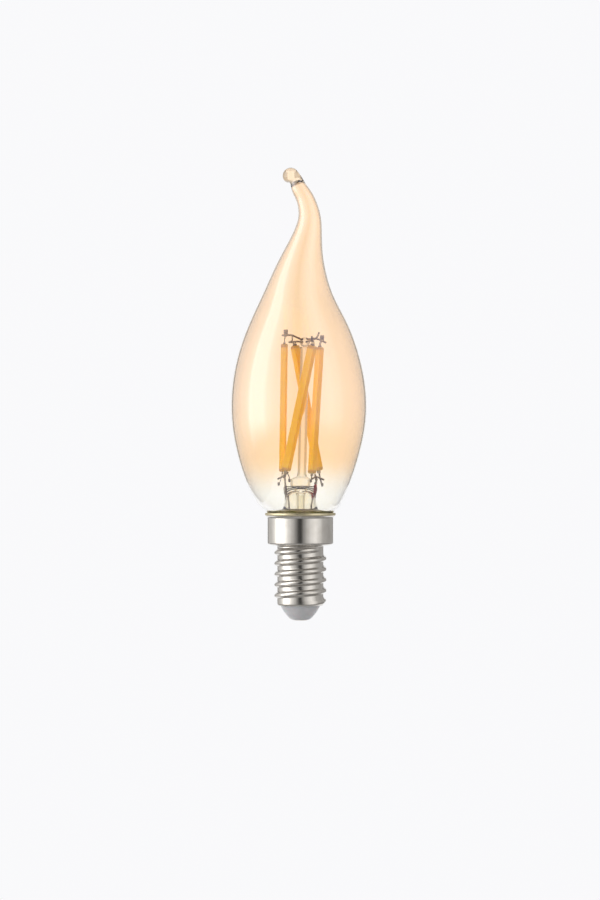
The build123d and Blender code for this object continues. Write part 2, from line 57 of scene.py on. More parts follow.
class CubicLine:
    """A natural cubic spline through knots, one value or more at each."""

    def __init__(self, knots: list[float], values: list[tuple[float, ...]]) -> None:
        """Solve the spline's second derivatives.

        Args:
            knots: rising parameter values.
            values: a tuple of numbers at each knot.
        """
        self.knots = knots
        self.values = values
        self.curls = [self._solve([value[i] for value in values]) for i in range(len(values[0]))]

    def _solve(self, heights: list[float]) -> list[float]:
        """Solve for one column of values, by the tridiagonal sweep.

        Args:
            heights: the column's value at each knot.

        Returns:
            Its second derivative at each knot.
        """
        count = len(heights)
        gaps = [b - a for a, b in zip(self.knots, self.knots[1:])]
        upper, right, curls = [0.0] * count, [0.0] * count, [0.0] * count
        for i in range(1, count - 1):
            before = (heights[i] - heights[i - 1]) / gaps[i - 1]
            after = (heights[i + 1] - heights[i]) / gaps[i]
            pivot = 2 * (gaps[i - 1] + gaps[i]) - gaps[i - 1] * upper[i - 1]
            upper[i] = gaps[i] / pivot
            right[i] = (6 * (after - before) - gaps[i - 1] * right[i - 1]) / pivot
        for i in range(count - 2, 0, -1):
            curls[i] = right[i] - upper[i] * curls[i + 1]
        return curls

    def at(self, knot: float) -> tuple[float, ...]:
        """Evaluate the spline.

        Args:
            knot: the parameter.

        Returns:
            The values there.
        """
        last = len(self.knots) - 2
        i = max(k for k in range(last + 1) if k == 0 or self.knots[k] <= knot)
        gap = self.knots[i + 1] - self.knots[i]
        a = (self.knots[i + 1] - knot) / gap
        b = 1 - a
        cube_a, cube_b = (a**3 - a) * gap * gap / 6, (b**3 - b) * gap * gap / 6
        return tuple(
            a * self.values[i][c] + b * self.values[i + 1][c] + cube_a * curl[i] + cube_b * curl[i + 1]
            for c, curl in enumerate(self.curls)
        )

    def walk(self, steps: int) -> list[tuple[float, ...]]:
        """Values at evenly spaced parameters from the first knot to the last."""
        low, high = self.knots[0], self.knots[-1]
        return [self.at(low + (high - low) * i / steps) for i in range(steps + 1)]


def smooth(low: float, high: float, value: float) -> float:
    """A soft step from 0 at low to 1 at high."""
    t = min(max((value - low) / (high - low), 0.0), 1.0)
    return t * t * (3 - 2 * t)


def oval_ring(centre: Vector, wide: Vector, deep: Vector, count: int, power: float = 2.0) -> Ring:
    """A ring round a centre, from a circle at power 2 to a rounded box at power 4 or more.

    Args:
        centre: middle of the ring, in millimetres.
        wide: half the ring's width, as a vector.
        deep: half its depth, as a vector.
        count: points round the ring.
        power: how square the ring is.

    Returns:
        The ring's points, in millimetres.
    """
    ring = []
    for i in range(count):
        angle = 2 * math.pi * i / count
        c, s = math.cos(angle), math.sin(angle)
        across = math.copysign(abs(c) ** (2 / power), c)
        along = math.copysign(abs(s) ** (2 / power), s)
        ring.append(centre + wide * across + deep * along)
    return ring


def level_ring(centre: Vector, wide: float, deep: float, count: int, power: float = 2.0) -> Ring:
    """A level ring with its width along X and its depth along Y."""
    return oval_ring(centre, Vector((wide, 0, 0)), Vector((0, deep, 0)), count, power)


class Skin:
    """A mesh made of rings of points joined side by side, in millimetres until it is closed."""

    def __init__(self) -> None:
        """Start an empty mesh."""
        self.mesh = bmesh.new()

    def tube(self, rings: list[Ring], ends: bool = True) -> list[list[bmesh.types.BMVert]]:
        """Join rings into a tube.

        Args:
            rings: rings with the same number of points.
            ends: close the first and the last ring with a fan.

        Returns:
            The vertices, ring by ring.
        """
        rows = [[self.mesh.verts.new(point * MM) for point in ring] for ring in rings]
        for low, high in zip(rows, rows[1:]):
            self._band(low, high)
        for row in (rows[0], rows[-1]) if ends else ():
            pole = self.mesh.verts.new(sum((vert.co for vert in row), Vector()) / len(row))
            for i in range(len(row)):
                self.mesh.faces.new((row[i], row[(i + 1) % len(row)], pole))
        return rows

    def _band(self, low: list[bmesh.types.BMVert], high: list[bmesh.types.BMVert]) -> None:
        """Join two rings of vertices with a band of faces."""
        for i in range(len(low)):
            j = (i + 1) % len(low)
            self.mesh.faces.new((low[i], low[j], high[j], high[i]))

    def loop(self, rings: list[Ring]) -> None:
        """Join rings into a closed ring-shaped body, its last ring to its first."""
        rows = self.tube(rings, ends=False)
        self._band(rows[-1], rows[0])

    def block(self, matrix: Matrix, size: Point, round_off: float) -> None:
        """A small box with rounded edges.

        Args:
            matrix: its place, in millimetres.
            size: its three sides, in millimetres.
            round_off: radius of its edges.
        """
        place = Matrix.Scale(MM, 4) @ matrix @ Matrix.Diagonal((*size, 1.0))
        made = bmesh.ops.create_cube(self.mesh, size=1.0, matrix=place)
        faces = {face for vert in made["verts"] for face in vert.link_faces}
        edges = list({edge for face in faces for edge in face.edges})
        bevel = {"offset": round_off * MM, "segments": 2, "profile": 0.6, "affect": "EDGES"}
        bmesh.ops.bevel(self.mesh, geom=edges, **bevel)

    def close(self, name: str, finishes: list["Finish"], sharp: float = 50.0) -> bpy.types.Object:
        """Turn the mesh into a named object with its finishes.

        Args:
            name: the piece's name.
            finishes: finishes in the order of the material indices.
            sharp: edges that turn more than this many degrees stay crisp.

        Returns:
            The new object.
        """
        bmesh.ops.recalc_face_normals(self.mesh, faces=self.mesh.faces)
        self.mesh.normal_update()
        data = bpy.data.meshes.new(name)
        self.mesh.to_mesh(data)
        self.mesh.free()
        for finish in finishes:
            data.materials.append(finish.material())
        data.shade_smooth()
        data.set_sharp_from_angle(angle=math.radians(sharp))
        piece = bpy.data.objects.new(name, data)
        bpy.context.scene.collection.objects.link(piece)
        return piece


def soften(points: list[Point], radius: float, parts: int = 6) -> list[Vector]:
    """Round the corners of a run of points.

    Args:
        points: corners of the run, with two or three coordinates.
        radius: distance from each corner at which its bend starts.
        parts: points that make up each bend.

    Returns:
        The softened run.
    """
    spots = [Vector((*point, 0.0)[:3]) for point in points]
    run = [spots[0]]
    for before, corner, after in zip(spots, spots[1:], spots[2:]):
        start = corner + (before - corner).normalized() * min(radius, (before - corner).length * 0.48)
        end = corner + (after - corner).normalized() * min(radius, (after - corner).length * 0.48)
        for i in range(parts + 1):
            t = i / parts
            run.append(start * (1 - t) ** 2 + corner * (2 * t * (1 - t)) + end * t * t)
    run.append(spots[-1])
    return run


def spread(run: list[Vector], gap: float) -> list[Vector]:
    """Add points along the straight lengths of a run.

    Args:
        run: the corners of the run.
        gap: the widest gap to leave between points.

    Returns:
        The corners with the added points between them.
    """
    dense = [run[0]]
    for a, b in zip(run, run[1:]):
        count = max(1, math.ceil((b - a).length / gap))
        dense += [a.lerp(b, (i + 1) / count) for i in range(count)]
    return dense


def along_run(
    run: list[Vector], half_wide: float, half_thick: float, facing: Vector,
    sides: int = 12, power: float = 2.0,
) -> list[Ring]:
    """Rings along a bent wire or strip, with its ends rounded over.

    Args:
        run: the centreline.
        half_wide: half the width of the section.
        half_thick: half its thickness.
        facing: direction that the section's width lies along, as nearly as the run lets it.
        sides: points round the section.
        power: how square the section is.

    Returns:
        The rings.
    """
    rings = []
    side = facing.normalized()
    last = len(run) - 1
    for i, spot in enumerate(run):
        ahead = (run[min(i + 1, last)] - run[max(i - 1, 0)]).normalized()
        side = (side - ahead * side.dot(ahead)).normalized()
        wide, deep = side * half_wide, ahead.cross(side) * half_thick
        tip = ahead * min(half_wide, half_thick) * 0.5
        even = 1 + 0.06 * noise.noise(spot * 1.3)
        if i == 0:
            rings.append(oval_ring(spot - tip, wide * 0.7, deep * 0.7, sides, power))
        rings.append(oval_ring(spot, wide * even, deep * even, sides, power))
        if i == last:
            rings.append(oval_ring(spot + tip, wide * 0.7, deep * 0.7, sides, power))
    return rings


def settle(piece: bpy.types.Object, slot: str, *nodes: str) -> bpy.types.Object:
    """Ride a piece on the lamp and report it.

    Args:
        piece: the new object.
        slot: name of its material slot; not used.
        nodes: the CAD nodes that it stands for.

    Returns:
        The same object.
    """
    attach(piece, "root")
    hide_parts(*nodes)
    LOG.info("%s: %d faces, replaces %s", piece.name, len(piece.data.polygons), ", ".join(nodes))
    return piece


# ------------------------------------------------------------------ finishes


class Graph:
    """One material's node graph, with short calls for the nodes that the finishes share."""

    def __init__(self, name: str) -> None:
        """Make the material and its shader.

        Args:
            name: the material's name.
        """
        self.material = bpy.data.materials.new(name)
        self.material.use_nodes = True
        self.tree = self.material.node_tree
        self.shader = self.tree.nodes["Principled BSDF"]
        where = self.add("ShaderNodeTexCoord")
        grow = self.add("ShaderNodeVectorMath", operation="SCALE")
        grow.inputs["Scale"].default_value = 1 / MM
        self.join(where.outputs["Object"], grow.inputs[0])
        self.place = grow.outputs[0]

    def add(self, kind: str, **settings: object) -> bpy.types.Node:
        """Add a node and set its options.

        Args:
            kind: the node's type.
            settings: its properties, by name.

        Returns:
            The new node.
        """
        node = self.tree.nodes.new(kind)
        for key, value in settings.items():
            setattr(node, key, value)
        return node

    def join(self, source: bpy.types.NodeSocket, target: bpy.types.NodeSocket) -> None:
        """Link two sockets."""
        self.tree.links.new(source, target)

    def feed(self, target: bpy.types.NodeSocket, value: object) -> None:
        """Link a socket to another, or set it to a number or a colour."""
        if isinstance(value, bpy.types.NodeSocket):
            self.join(value, target)
        elif isinstance(value, tuple) and target.type == "RGBA":
            target.default_value = (*value, 1.0)
        else:
            target.default_value = value

    def put(self, **values: object) -> None:
        """Set the shader's own sockets, with spaces for underscores in their names."""
        for key, value in values.items():
            self.feed(self.shader.inputs[key.replace("_", " ")], value)

    def part(self, axis: str) -> bpy.types.NodeSocket:
        """One coordinate of the surface point, in millimetres.

        Args:
            axis: X, Y or Z.

        Returns:
            The coordinate's socket.
        """
        split = self.add("ShaderNodeSeparateXYZ")
        self.join(self.place, split.inputs[0])
        return split.outputs[axis]

    def math(self, operation: str, first: object, second: object = 0.0) -> bpy.types.NodeSocket:
        """A maths node.

        Args:
            operation: the node's operation.
            first: its first number, or a socket.
            second: its second number, or a socket.

        Returns:
            Its result.
        """
        node = self.add("ShaderNodeMath", operation=operation)
        self.feed(node.inputs[0], first)
        self.feed(node.inputs[1], second)
        return node.outputs[0]

    def grain(self, scale: float, detail: float = 3.0, stretch: Point = (1, 1, 1)) -> bpy.types.NodeSocket:
        """Soft noise.

        Args:
            scale: features in each millimetre.
            detail: levels of finer noise.
            stretch: scale of the noise along each axis.

        Returns:
            The noise, from 0 to 1.
        """
        pull = self.add("ShaderNodeVectorMath", operation="MULTIPLY")
        pull.inputs[1].default_value = stretch
        self.join(self.place, pull.inputs[0])
        node = self.add("ShaderNodeTexNoise")
        node.inputs["Scale"].default_value = scale
        node.inputs["Detail"].default_value = detail
        self.join(pull.outputs[0], node.inputs["Vector"])
        return node.outputs["Fac"]

    def band(
        self, value: bpy.types.NodeSocket, low: float, high: float, start: float = 0.0, end: float = 1.0
    ) -> bpy.types.NodeSocket:
        """Map a value smoothly from one range to another, and hold it there.

        Args:
            value: the value.
            low: value at the start of its range.
            high: value at the end of its range.
            start: result at the low value and before it.
            end: result at the high value and beyond it.

        Returns:
            The result.
        """
        node = self.add("ShaderNodeMapRange", interpolation_type="SMOOTHSTEP")
        for socket, number in zip(("From Min", "From Max", "To Min", "To Max"), (low, high, start, end)):
            node.inputs[socket].default_value = number
        self.join(value, node.inputs["Value"])
        return node.outputs["Result"]

    def blend(self, share: bpy.types.NodeSocket, first: object, second: object) -> bpy.types.NodeSocket:
        """Mix two colours.

        Args:
            share: how much of the second there is.
            first: a colour or a socket.
            second: a colour or a socket.

        Returns:
            The mixed colour.
        """
        node = self.add("ShaderNodeMix", data_type="RGBA")
        self.join(share, node.inputs["Factor"])
        self.feed(node.inputs[6], first)
        self.feed(node.inputs[7], second)
        return node.outputs[2]

    def relief(self, height: bpy.types.NodeSocket, strength: float, depth: float) -> None:
        """Roughen the surface.

        Args:
            height: how high each point stands, from 0 to 1.
            strength: how much of the relief shows.
            depth: its full depth, in millimetres.
        """
        node = self.add("ShaderNodeBump")
        node.inputs["Strength"].default_value = strength
        node.inputs["Distance"].default_value = depth * MM
        self.join(height, node.inputs["Height"])
        self.join(node.outputs["Normal"], self.shader.inputs["Normal"])

    def colour(self, socket: bpy.types.NodeSocket) -> None:
        """Drive the base colour."""
        self.join(socket, self.shader.inputs["Base Color"])

    def rough(self, socket: bpy.types.NodeSocket) -> None:
        """Drive the roughness."""
        self.join(socket, self.shader.inputs["Roughness"])


MADE: dict[str, bpy.types.Material] = {}


@dataclass(frozen=True)
class Finish:
    """A surface finish, made into one material the first time that a piece wears it."""

    name: str

    def material(self) -> bpy.types.Material:
        """The finish's material."""
        if self.name not in MADE:
            graph = Graph(f"{self.name}_finish")
            self.paint(graph)
            MADE[self.name] = graph.material
        return MADE[self.name]

    def paint(self, graph: Graph) -> None:
        """Set up the shader."""
        raise NotImplementedError


@dataclass(frozen=True)
class Glass(Finish):
    """Clear or tinted glass, whose tint can fade in up the lamp."""

    tint: Colour = (0.985, 0.985, 0.975)
    foot: Colour | None = None
    band: Colour | None = None
    fade: tuple[float, float, float] = (32.5, 44.0, 60.0)
    index: float = 1.50
    sheen: Colour = (1.0, 1.0, 1.0)
    coat: float = 0.0

    def paint(self, graph: Graph) -> None:
        """Set up smooth glass whose colour changes up the lamp."""
        graph.put(Roughness=0.0, IOR=self.index, Transmission_Weight=1.0)
        graph.put(Specular_Tint=self.sheen, Coat_Weight=self.coat, Coat_Roughness=0.02, Coat_IOR=1.8)
        drift = graph.math("MULTIPLY", graph.math("SUBTRACT", graph.grain(0.05, 2.0), 0.5), 8.0)
        height = graph.math("ADD", graph.part("Z"), drift)
        low, middle, high = self.fade
        lower = graph.blend(graph.band(height, low, middle), self.foot or self.tint, self.band or self.tint)
        graph.colour(graph.blend(graph.band(height, middle + 2.0, high), lower, self.tint))


@dataclass(frozen=True)
class Plate(Finish):
    """Plated sheet metal with fine turned lines round the axis and faint handling marks."""

    base: Colour = (0.70, 0.675, 0.64)
    stain: Colour = (0.64, 0.61, 0.57)
    gloss: tuple[float, float] = (0.11, 0.19)
    lines: float = 22.0
    depth: float = 0.0006

    def paint(self, graph: Graph) -> None:
        """Set up the metal."""
        graph.put(Metallic=1.0)
        marks = graph.grain(0.35, 3.0)
        graph.colour(graph.blend(graph.band(marks, 0.3, 0.8), self.base, self.stain))
        lines = graph.grain(1.0, 2.0, (0.8, 0.8, self.lines))
        both = graph.math("ADD", graph.math("MULTIPLY", lines, 0.6), graph.math("MULTIPLY", marks, 0.4))
        graph.rough(graph.band(both, 0.3, 0.7, *self.gloss))
        graph.relief(lines, 0.6, self.depth)


@dataclass(frozen=True)
class Wire(Finish):
    """Drawn wire or punched strip, dulled in patches."""

    base: Colour = (0.60, 0.57, 0.52)
    dull: Colour = (0.30, 0.26, 0.21)
    metal: float = 1.0
    rough: float = 0.34

    def paint(self, graph: Graph) -> None:
        """Set up the metal."""
        graph.put(Metallic=self.metal)
        patches = graph.grain(1.6, 4.0)
        graph.colour(graph.blend(graph.band(patches, 0.42, 0.66), self.base, self.dull))
        graph.rough(graph.band(patches, 0.3, 0.7, self.rough * 0.8, self.rough * 1.4))
        graph.relief(graph.grain(9.0, 2.0, (1, 1, 0.2)), 0.5, 0.006)


@dataclass(frozen=True)
class Phosphor(Finish):
    """Silicone loaded with orange phosphor, paler and duller towards a filament's ends, and painted deeper
    orange towards its bottom, as if a whitish reflection lay over the upper part.
    """

    base: Colour = (1.0, 0.71, 0.19)
    shade: Colour = (1.0, 0.67, 0.15)
    deep: Colour = (1.0, 0.66, 0.0)
    ends: Colour = (0.84, 0.60, 0.34)
    # Strength of the painted glow that brightens the unlit phosphor.
    glow: float = 0.50
    low: float = 39.5
    high: float = 72.6

    def paint(self, graph: Graph) -> None:
        """Set up a soft surface with mottled colour, slight lumps and a painted glow."""
        graph.put(Roughness=0.42, Subsurface_Weight=0.25, Subsurface_Radius=(1.0, 0.55, 0.2))
        graph.put(Subsurface_Scale=0.5 * MM, Coat_Weight=0.25, Coat_Roughness=0.25)
        # Painted glow: the unlit phosphor gives off light of its own, so that it reads as brightly lit.
        graph.put(Emission_Color=(1.0, 0.60, 0.05), Emission_Strength=self.glow)
        mottle = graph.grain(1.4, 4.0)
        body = graph.blend(graph.band(mottle, 0.35, 0.65), self.base, self.shade)
        height = graph.part("Z")
        bottom = graph.band(height, self.low, self.low + 2.6, 1.0, 0.0)
        top = graph.band(height, self.high - 3.0, self.high)
        # Painted reflection: the colour turns deeper orange towards the bottom, leaving the upper part paler
        # as if a whitish reflection lay over it.
        body = graph.blend(graph.band(height, self.low, self.high - 8.0, 1.0, 0.0), body, self.deep)
        share = graph.math("MULTIPLY", graph.math("MAXIMUM", bottom, top), 0.8)
        graph.colour(graph.blend(share, body, self.ends))
        graph.relief(graph.grain(2.2, 3.0), 0.5, 0.05)


@dataclass(frozen=True)
class Moulded(Finish):
    """Moulded plastic, ceramic or paint, with slight mottling and a fine texture."""

    base: Colour = (0.5, 0.5, 0.5)
    fleck: Colour = (0.4, 0.4, 0.4)
    rough: float = 0.4
    scale: float = 1.2
    depth: float = 0.01
    soft: float = 0.0

    def paint(self, graph: Graph) -> None:
        """Set up the surface."""
        graph.put(Subsurface_Weight=self.soft, Subsurface_Scale=0.8 * MM)
        flecks = graph.grain(self.scale, 5.0)
        graph.colour(graph.blend(graph.band(flecks, 0.38, 0.68), self.base, self.fleck))
        graph.rough(graph.band(flecks, 0.3, 0.7, self.rough * 0.85, self.rough * 1.15))
        graph.relief(graph.grain(self.scale * 6, 3.0), 0.5, self.depth)


@dataclass(frozen=True)
class Backdrop(Finish):
    """Pale seamless paper that gives back a little light of its own."""

    base: Colour = (0.15, 0.15, 0.15)
    front: Colour = (0.46, 0.46, 0.46)
    glow: float = 0.86
    near: float = 150.0
    far: float = 560.0

    def paint(self, graph: Graph) -> None:
        """Set up the paper, whose glow fades in behind the lamp."""
        graph.put(Roughness=0.9, Specular_IOR_Level=0.0)
        share = graph.band(graph.part("Y"), self.near, self.far)
        graph.colour(graph.blend(share, self.front, self.base))
        light = graph.blend(share, BLACK, (0.985, 0.985, 1.0))
        graph.put(Emission_Color=light, Emission_Strength=self.glow)


COOL: Colour = (0.22, 0.16, 1.0)
AMBER = Glass(
    "amber_glass", (1.0, 0.84, 0.71), (0.985, 0.975, 1.0), (1.0, 0.835, 0.68), index=1.64, sheen=COOL
)
AMBER_FACE = replace(AMBER, name="amber_glass_face", coat=1.0)
BEAD = Glass("amber_bead", (0.96, 0.75, 0.53))
# Painted reflection: the stem and the post are tinted golden to stand for the amber glass and the filaments
# mirrored in them.
STEM = Glass("stem_glass", (0.985, 0.955, 0.88), index=1.34)
POST = Glass("post_glass", (0.97, 0.91, 0.80))
CLEAR = Glass("clear_glass", index=1.52)
NICKEL = Plate("nickel_plate")
# Painted reflection: the lip of the shell is coloured brass to stand for the amber glass mirrored in it.
LIP_PAINTED_REFLECTION = Plate("lip_painted_reflection", (0.80, 0.72, 0.50), (0.62, 0.54, 0.34), (0.25, 0.45))
CONTACT = Plate("contact_metal", (0.78, 0.74, 0.66), (0.62, 0.56, 0.46), (0.22, 0.42), 6.0)
LEAD = Wire("lead_wire")
TAB = Wire("tab_metal", (0.46, 0.44, 0.42), (0.30, 0.28, 0.26), rough=0.4)
SEAL = Wire("seal_wire", (0.74, 0.15, 0.14), (0.52, 0.09, 0.09), 0.1, 0.3)
PHOSPHOR = Phosphor("phosphor")
# Painted shade: a darker, deeper orange copy of the phosphor for the faces turned to the right, away from
# the main light.
PHOSPHOR_PAINTED_SHADE = Phosphor(
    "phosphor_painted_shade", (0.98, 0.56, 0.03), (0.96, 0.50, 0.02), (0.98, 0.56, 0.01), glow=0.38
)
PHOSPHOR_END = Phosphor(
    "phosphor_end", (0.90, 0.68, 0.38), (0.84, 0.60, 0.28), (0.86, 0.66, 0.30), glow=0.20
)
BONDED = Moulded("cement_behind_glass", (0.70, 0.63, 0.45), (0.33, 0.33, 0.08), 0.3, 0.20, 0.02)
CARRIER = Moulded("carrier_ceramic", (0.92, 0.89, 0.82), (0.85, 0.80, 0.70), 0.5)
CEMENT = Moulded("cement", (0.62, 0.55, 0.34), (0.42, 0.38, 0.18), 0.75, 0.9, 0.08)
INSULATOR = Moulded("insulator_grey", (0.72, 0.725, 0.75), (0.68, 0.685, 0.71), 0.32, 0.5, 0.006, 0.1)


# ------------------------------------------------------------------ glass


@dataclass
class GlassEnvelope:
    """The blown bulb: a pear-shaped body drawn out into a bent tail with a solid bead at its tip.

    Stations run up the centreline as (centre x, height, lean in degrees, outer radius).
    """

    wall: float = 0.45
    thin_by: float = 0.12
    thinning: tuple[float, float] = (92.0, 108.0)
    bore_end: float = 114.9
    around: int = 128
    steps: int = 150
    neck_bottom: float = 26.30
    stations: tuple[tuple[float, float, float, float], ...] = (
        (0.00, 27.60, 0, 8.20), (0.00, 28.25, 0, 8.45), (-0.05, 29.20, 0, 9.55), (-0.35, 31.80, 0, 11.60),
        (-0.52, 36.00, 0, 13.60), (-0.52, 43.40, 0, 16.05), (-0.42, 52.00, 0, 17.72),
        (-0.40, 61.00, 0, 17.76), (-0.47, 70.00, 0, 16.10), (-0.52, 78.50, 0, 13.05),
        (-0.45, 86.50, 3, 9.20), (0.25, 93.50, 8, 6.50), (1.25, 98.80, 11, 4.72),
        (2.10, 103.00, 8, 3.64), (2.42, 106.60, -2, 3.00), (1.90, 109.60, -15, 2.60),
        (0.90, 112.20, -26, 2.34), (-0.50, 114.60, -34, 2.08), (-1.16, 116.27, -37, 1.80),
    )
    bead_centre: Point = (-2.52, 0.0, 117.50)
    bead_radius: float = 2.16
    bead_lean: float = -36.0
    bead_start: float = 54.0
    bead_end: float = 178.0
    bead_rings: int = 15

    def _ring(self, station: tuple[float, ...], inset: float) -> Ring:
        """A ring of the glass.

        Args:
            station: centre x, height, lean and radius.
            inset: how far the ring lies inside the radius.

        Returns:
            The ring.
        """
        centre_x, height, lean, radius = station
        tilt = math.radians(lean)
        wide = Vector((math.cos(tilt), 0, -math.sin(tilt))) * (radius - inset)
        deep = Vector((0, radius - inset, 0))
        return oval_ring(Vector((centre_x, 0, height)), wide, deep, self.around)

    def _centreline(self) -> CubicLine:
        """The smooth run of stations, spaced by the outline's length."""
        knots = [0.0]
        for a, b in zip(self.stations, self.stations[1:]):
            knots.append(knots[-1] + math.hypot(b[0] - a[0], b[1] - a[1], b[3] - a[3]))
        return CubicLine(knots, self.stations)

    def _bead(self) -> list[Ring]:
        """Rings of the round bead that ends the tail."""
        tilt = math.radians(self.bead_lean)
        ahead = Vector((math.sin(tilt), 0, math.cos(tilt)))
        wide = Vector((math.cos(tilt), 0, -math.sin(tilt)))
        rings = []
        for i in range(self.bead_rings + 1):
            angle = math.radians(self.bead_start + (self.bead_end - self.bead_start) * i / self.bead_rings)
            centre = Vector(self.bead_centre) - ahead * self.bead_radius * math.cos(angle)
            reach = self.bead_radius * math.sin(angle)
            if angle < math.pi / 2:
                centre += wide * (self.bead_radius - reach)
            rings.append(oval_ring(centre, wide * reach, Vector((0, reach, 0)), self.around))
        return rings

    def build(self) -> bpy.types.Object:
        """Make the two skins of the glass as one closed mesh."""
        run = self._centreline().walk(self.steps)
        outer = [self._ring(station, 0.0) for station in run] + self._bead()
        hollow = [station for station in run if station[1] < self.bore_end]
        inner = []
        for place in hollow:
            inner.append(self._ring(place, self.wall - self.thin_by * smooth(*self.thinning, place[1])))
        tip = hollow[-1]
        tilt = math.radians(tip[2])
        bore = tip[3] - self.wall + self.thin_by
        for turn in range(12, 85, 8):
            rise, reach = bore * math.sin(math.radians(turn)), bore * math.cos(math.radians(turn))
            place = (tip[0] + math.sin(tilt) * rise, tip[1] + math.cos(tilt) * rise, tip[2], reach)
            inner.append(self._ring(place, 0.0))
        foot = []
        for drop, rise in ((0.0, 0.3), (0.1, 0.08), (0.3, 0.0), (self.wall - 0.1, 0.08), (self.wall, 0.3)):
            foot.append(self._ring((0.0, self.neck_bottom + rise, 0.0, self.stations[0][3]), drop))
        skin = Skin()
        skin.tube(inner[::-1] + foot[::-1] + outer)
        first_outer = (len(inner) + len(foot)) * self.around
        for i, face in enumerate(skin.mesh.faces):
            if face.calc_center_median().z > self.stations[-1][1] * MM:
                face.material_index = 2
            elif i >= first_outer:
                face.material_index = 1
        bulb = skin.close("amber_bulb", [AMBER, AMBER_FACE, BEAD], ALL_SMOOTH)
        return settle(bulb, "amber_glass", "glass_envelope")


@dataclass
class StemGlass:
    """The glass stem: a flared tube pinched round the lead wires, its exhaust tube, and a glass post.

    The outside and the ceiling run upwards and inwards as (height, half width, half depth).
    """

    around: int = 72
    wall: float = 0.50
    outside: tuple[Point, ...] = (
        (28.05, 7.70, 7.70), (28.72, 7.35, 7.35), (29.22, 6.60, 6.60), (29.50, 5.50, 5.50),
        (29.95, 4.66, 4.66), (31.30, 4.18, 4.18), (32.60, 4.10, 4.10), (33.50, 4.25, 3.45),
        (34.40, 4.42, 2.50), (35.00, 4.45, 2.02), (35.35, 4.36, 1.80), (35.52, 4.05, 1.62),
        (35.56, 3.20, 1.25),
    )
    ceiling: tuple[Point, ...] = (
        (32.00, 3.58, 3.55), (32.80, 3.42, 3.20), (33.50, 3.05, 2.60), (33.95, 2.50, 2.05),
        (34.05, 2.05, 1.72), (33.90, 1.65, 1.45), (33.40, 1.30, 1.22), (32.70, 1.12, 1.12),
    )
    exhaust_x: float = 0.10
    exhaust_radius: float = 1.10
    exhaust_bore: float = 0.68
    exhaust_tip: float = 22.70
    flare_top: float = 31.9
    hole_height: float = 33.60
    hole_half: tuple[float, float] = (0.62, 0.40)
    hole_flare: float = 0.12
    bonded_top: float = 29.72
    bonded_inside: float = 4.5
    block_half: tuple[float, float] = (2.65, 1.50)
    block_bottom: float = 35.62
    block_top: float = 37.55
    post_radius: float = 1.15
    post_foot: Point = (0.40, 0.0, 38.10)
    post_top: Point = (1.15, 0.0, 72.20)
    bead_radius: float = 1.30
    bead_top: float = 74.70
    crisp: float = 62.0

    def _oval(self, height: float, wide: float, deep: float, centre_x: float = 0.0) -> Ring:
        """A level oval ring of the stem."""
        return level_ring(Vector((centre_x, 0, height)), wide, deep, self.around)

    def _refined(self, rows: tuple[Point, ...], parts: int) -> list[tuple[float, ...]]:
        """More rows between the given ones, along a smooth curve.

        Args:
            rows: the given rows.
            parts: spans in the result.

        Returns:
            The new rows.
        """
        knots = [0.0]
        for a, b in zip(rows, rows[1:]):
            knots.append(knots[-1] + math.dist(a, b))
        return CubicLine(knots, rows).walk(parts)

    def _cut(self, piece: bpy.types.Object, rings: list[Ring]) -> None:
        """Cut a closed tube out of a piece.

        Args:
            piece: the piece.
            rings: the tube's rings.
        """
        skin = Skin()
        skin.tube(rings)
        cutter = skin.close("cutter", [CLEAR], ALL_SMOOTH)
        cut = piece.modifiers.new("cut", "BOOLEAN")
        cut.operation, cut.solver, cut.object = "DIFFERENCE", "EXACT", cutter
        result = bpy.data.meshes.new_from_object(piece.evaluated_get(bpy.context.evaluated_depsgraph_get()))
        piece.modifiers.clear()
        old, piece.data = piece.data, result
        bpy.data.meshes.remove(old)
        bpy.data.objects.remove(cutter)

    def _pipe(self, stops: list[tuple[float, float]], radius: float) -> list[Ring]:
        """Rings up the exhaust tube, from (height, share of the radius)."""
        return [self._oval(z, radius * share, radius * share, self.exhaust_x) for z, share in stops]

    def build_stem(self) -> bpy.types.Object:
        """The flare, the pinched press and the exhaust tube, fused into one."""
        outer = [self._oval(*row) for row in self._refined(self.outside, 60)]
        roof = [
            self._oval(z, wide, deep, self.exhaust_x * smooth(3.4, 1.2, wide))
            for z, wide, deep in self._refined(self.ceiling, 26)
        ]
        inner = [
            self._oval(z + 0.12 * smooth(6, 7.4, wide), wide - self.wall, deep - self.wall)
            for z, wide, deep in self._refined(self.outside[:7], 30)
            if z < self.flare_top
        ]
        drop = [(self.exhaust_tip + rise, share) for rise, share in ((0.1, 0.5), (0.35, 0.8), (0.8, 0.97))]
        drop += [(z, 1.0) for z in (23.9, 24.8, 26.2, 27.6, 29.0, 30.4, 31.8)]
        exhaust = self._pipe(drop, self.exhaust_radius)
        skin = Skin()
        skin.tube(exhaust + roof[::-1] + inner[::-1] + outer)
        stem = skin.close("stem_glass", [STEM], ALL_SMOOTH)
        bore = [(23.50, 0.5), (23.65, 0.85), (24.0, 1.0), (28.0, 1.0), (32.9, 1.0), (33.5, 0.95)]
        self._cut(stem, self._pipe([*bore, (33.85, 0.7), (34.0, 0.35)], self.exhaust_bore))
        hole = []
        for deep in (0.0, 1.2, 2.2, 4.6):
            wide, high = (half * (1 + self.hole_flare * deep) for half in self.hole_half)
            centre = Vector((self.exhaust_x, -deep, self.hole_height))
            hole.append(oval_ring(centre, Vector((wide, 0, 0)), Vector((0, 0, high)), 32))
        self._cut(stem, hole)
        stem.data.materials.append(BONDED.material())
        for face in stem.data.polygons:
            spot = face.center / MM
            outside = math.hypot(spot.x, spot.y) > self.bonded_inside
            face.material_index = int(outside and spot.z < self.bonded_top)
        stem.data.shade_smooth()
        stem.data.set_sharp_from_angle(angle=math.radians(self.crisp))
        return settle(stem, "clear_glass", "stem_flare", "stem_press", "exhaust_tube")

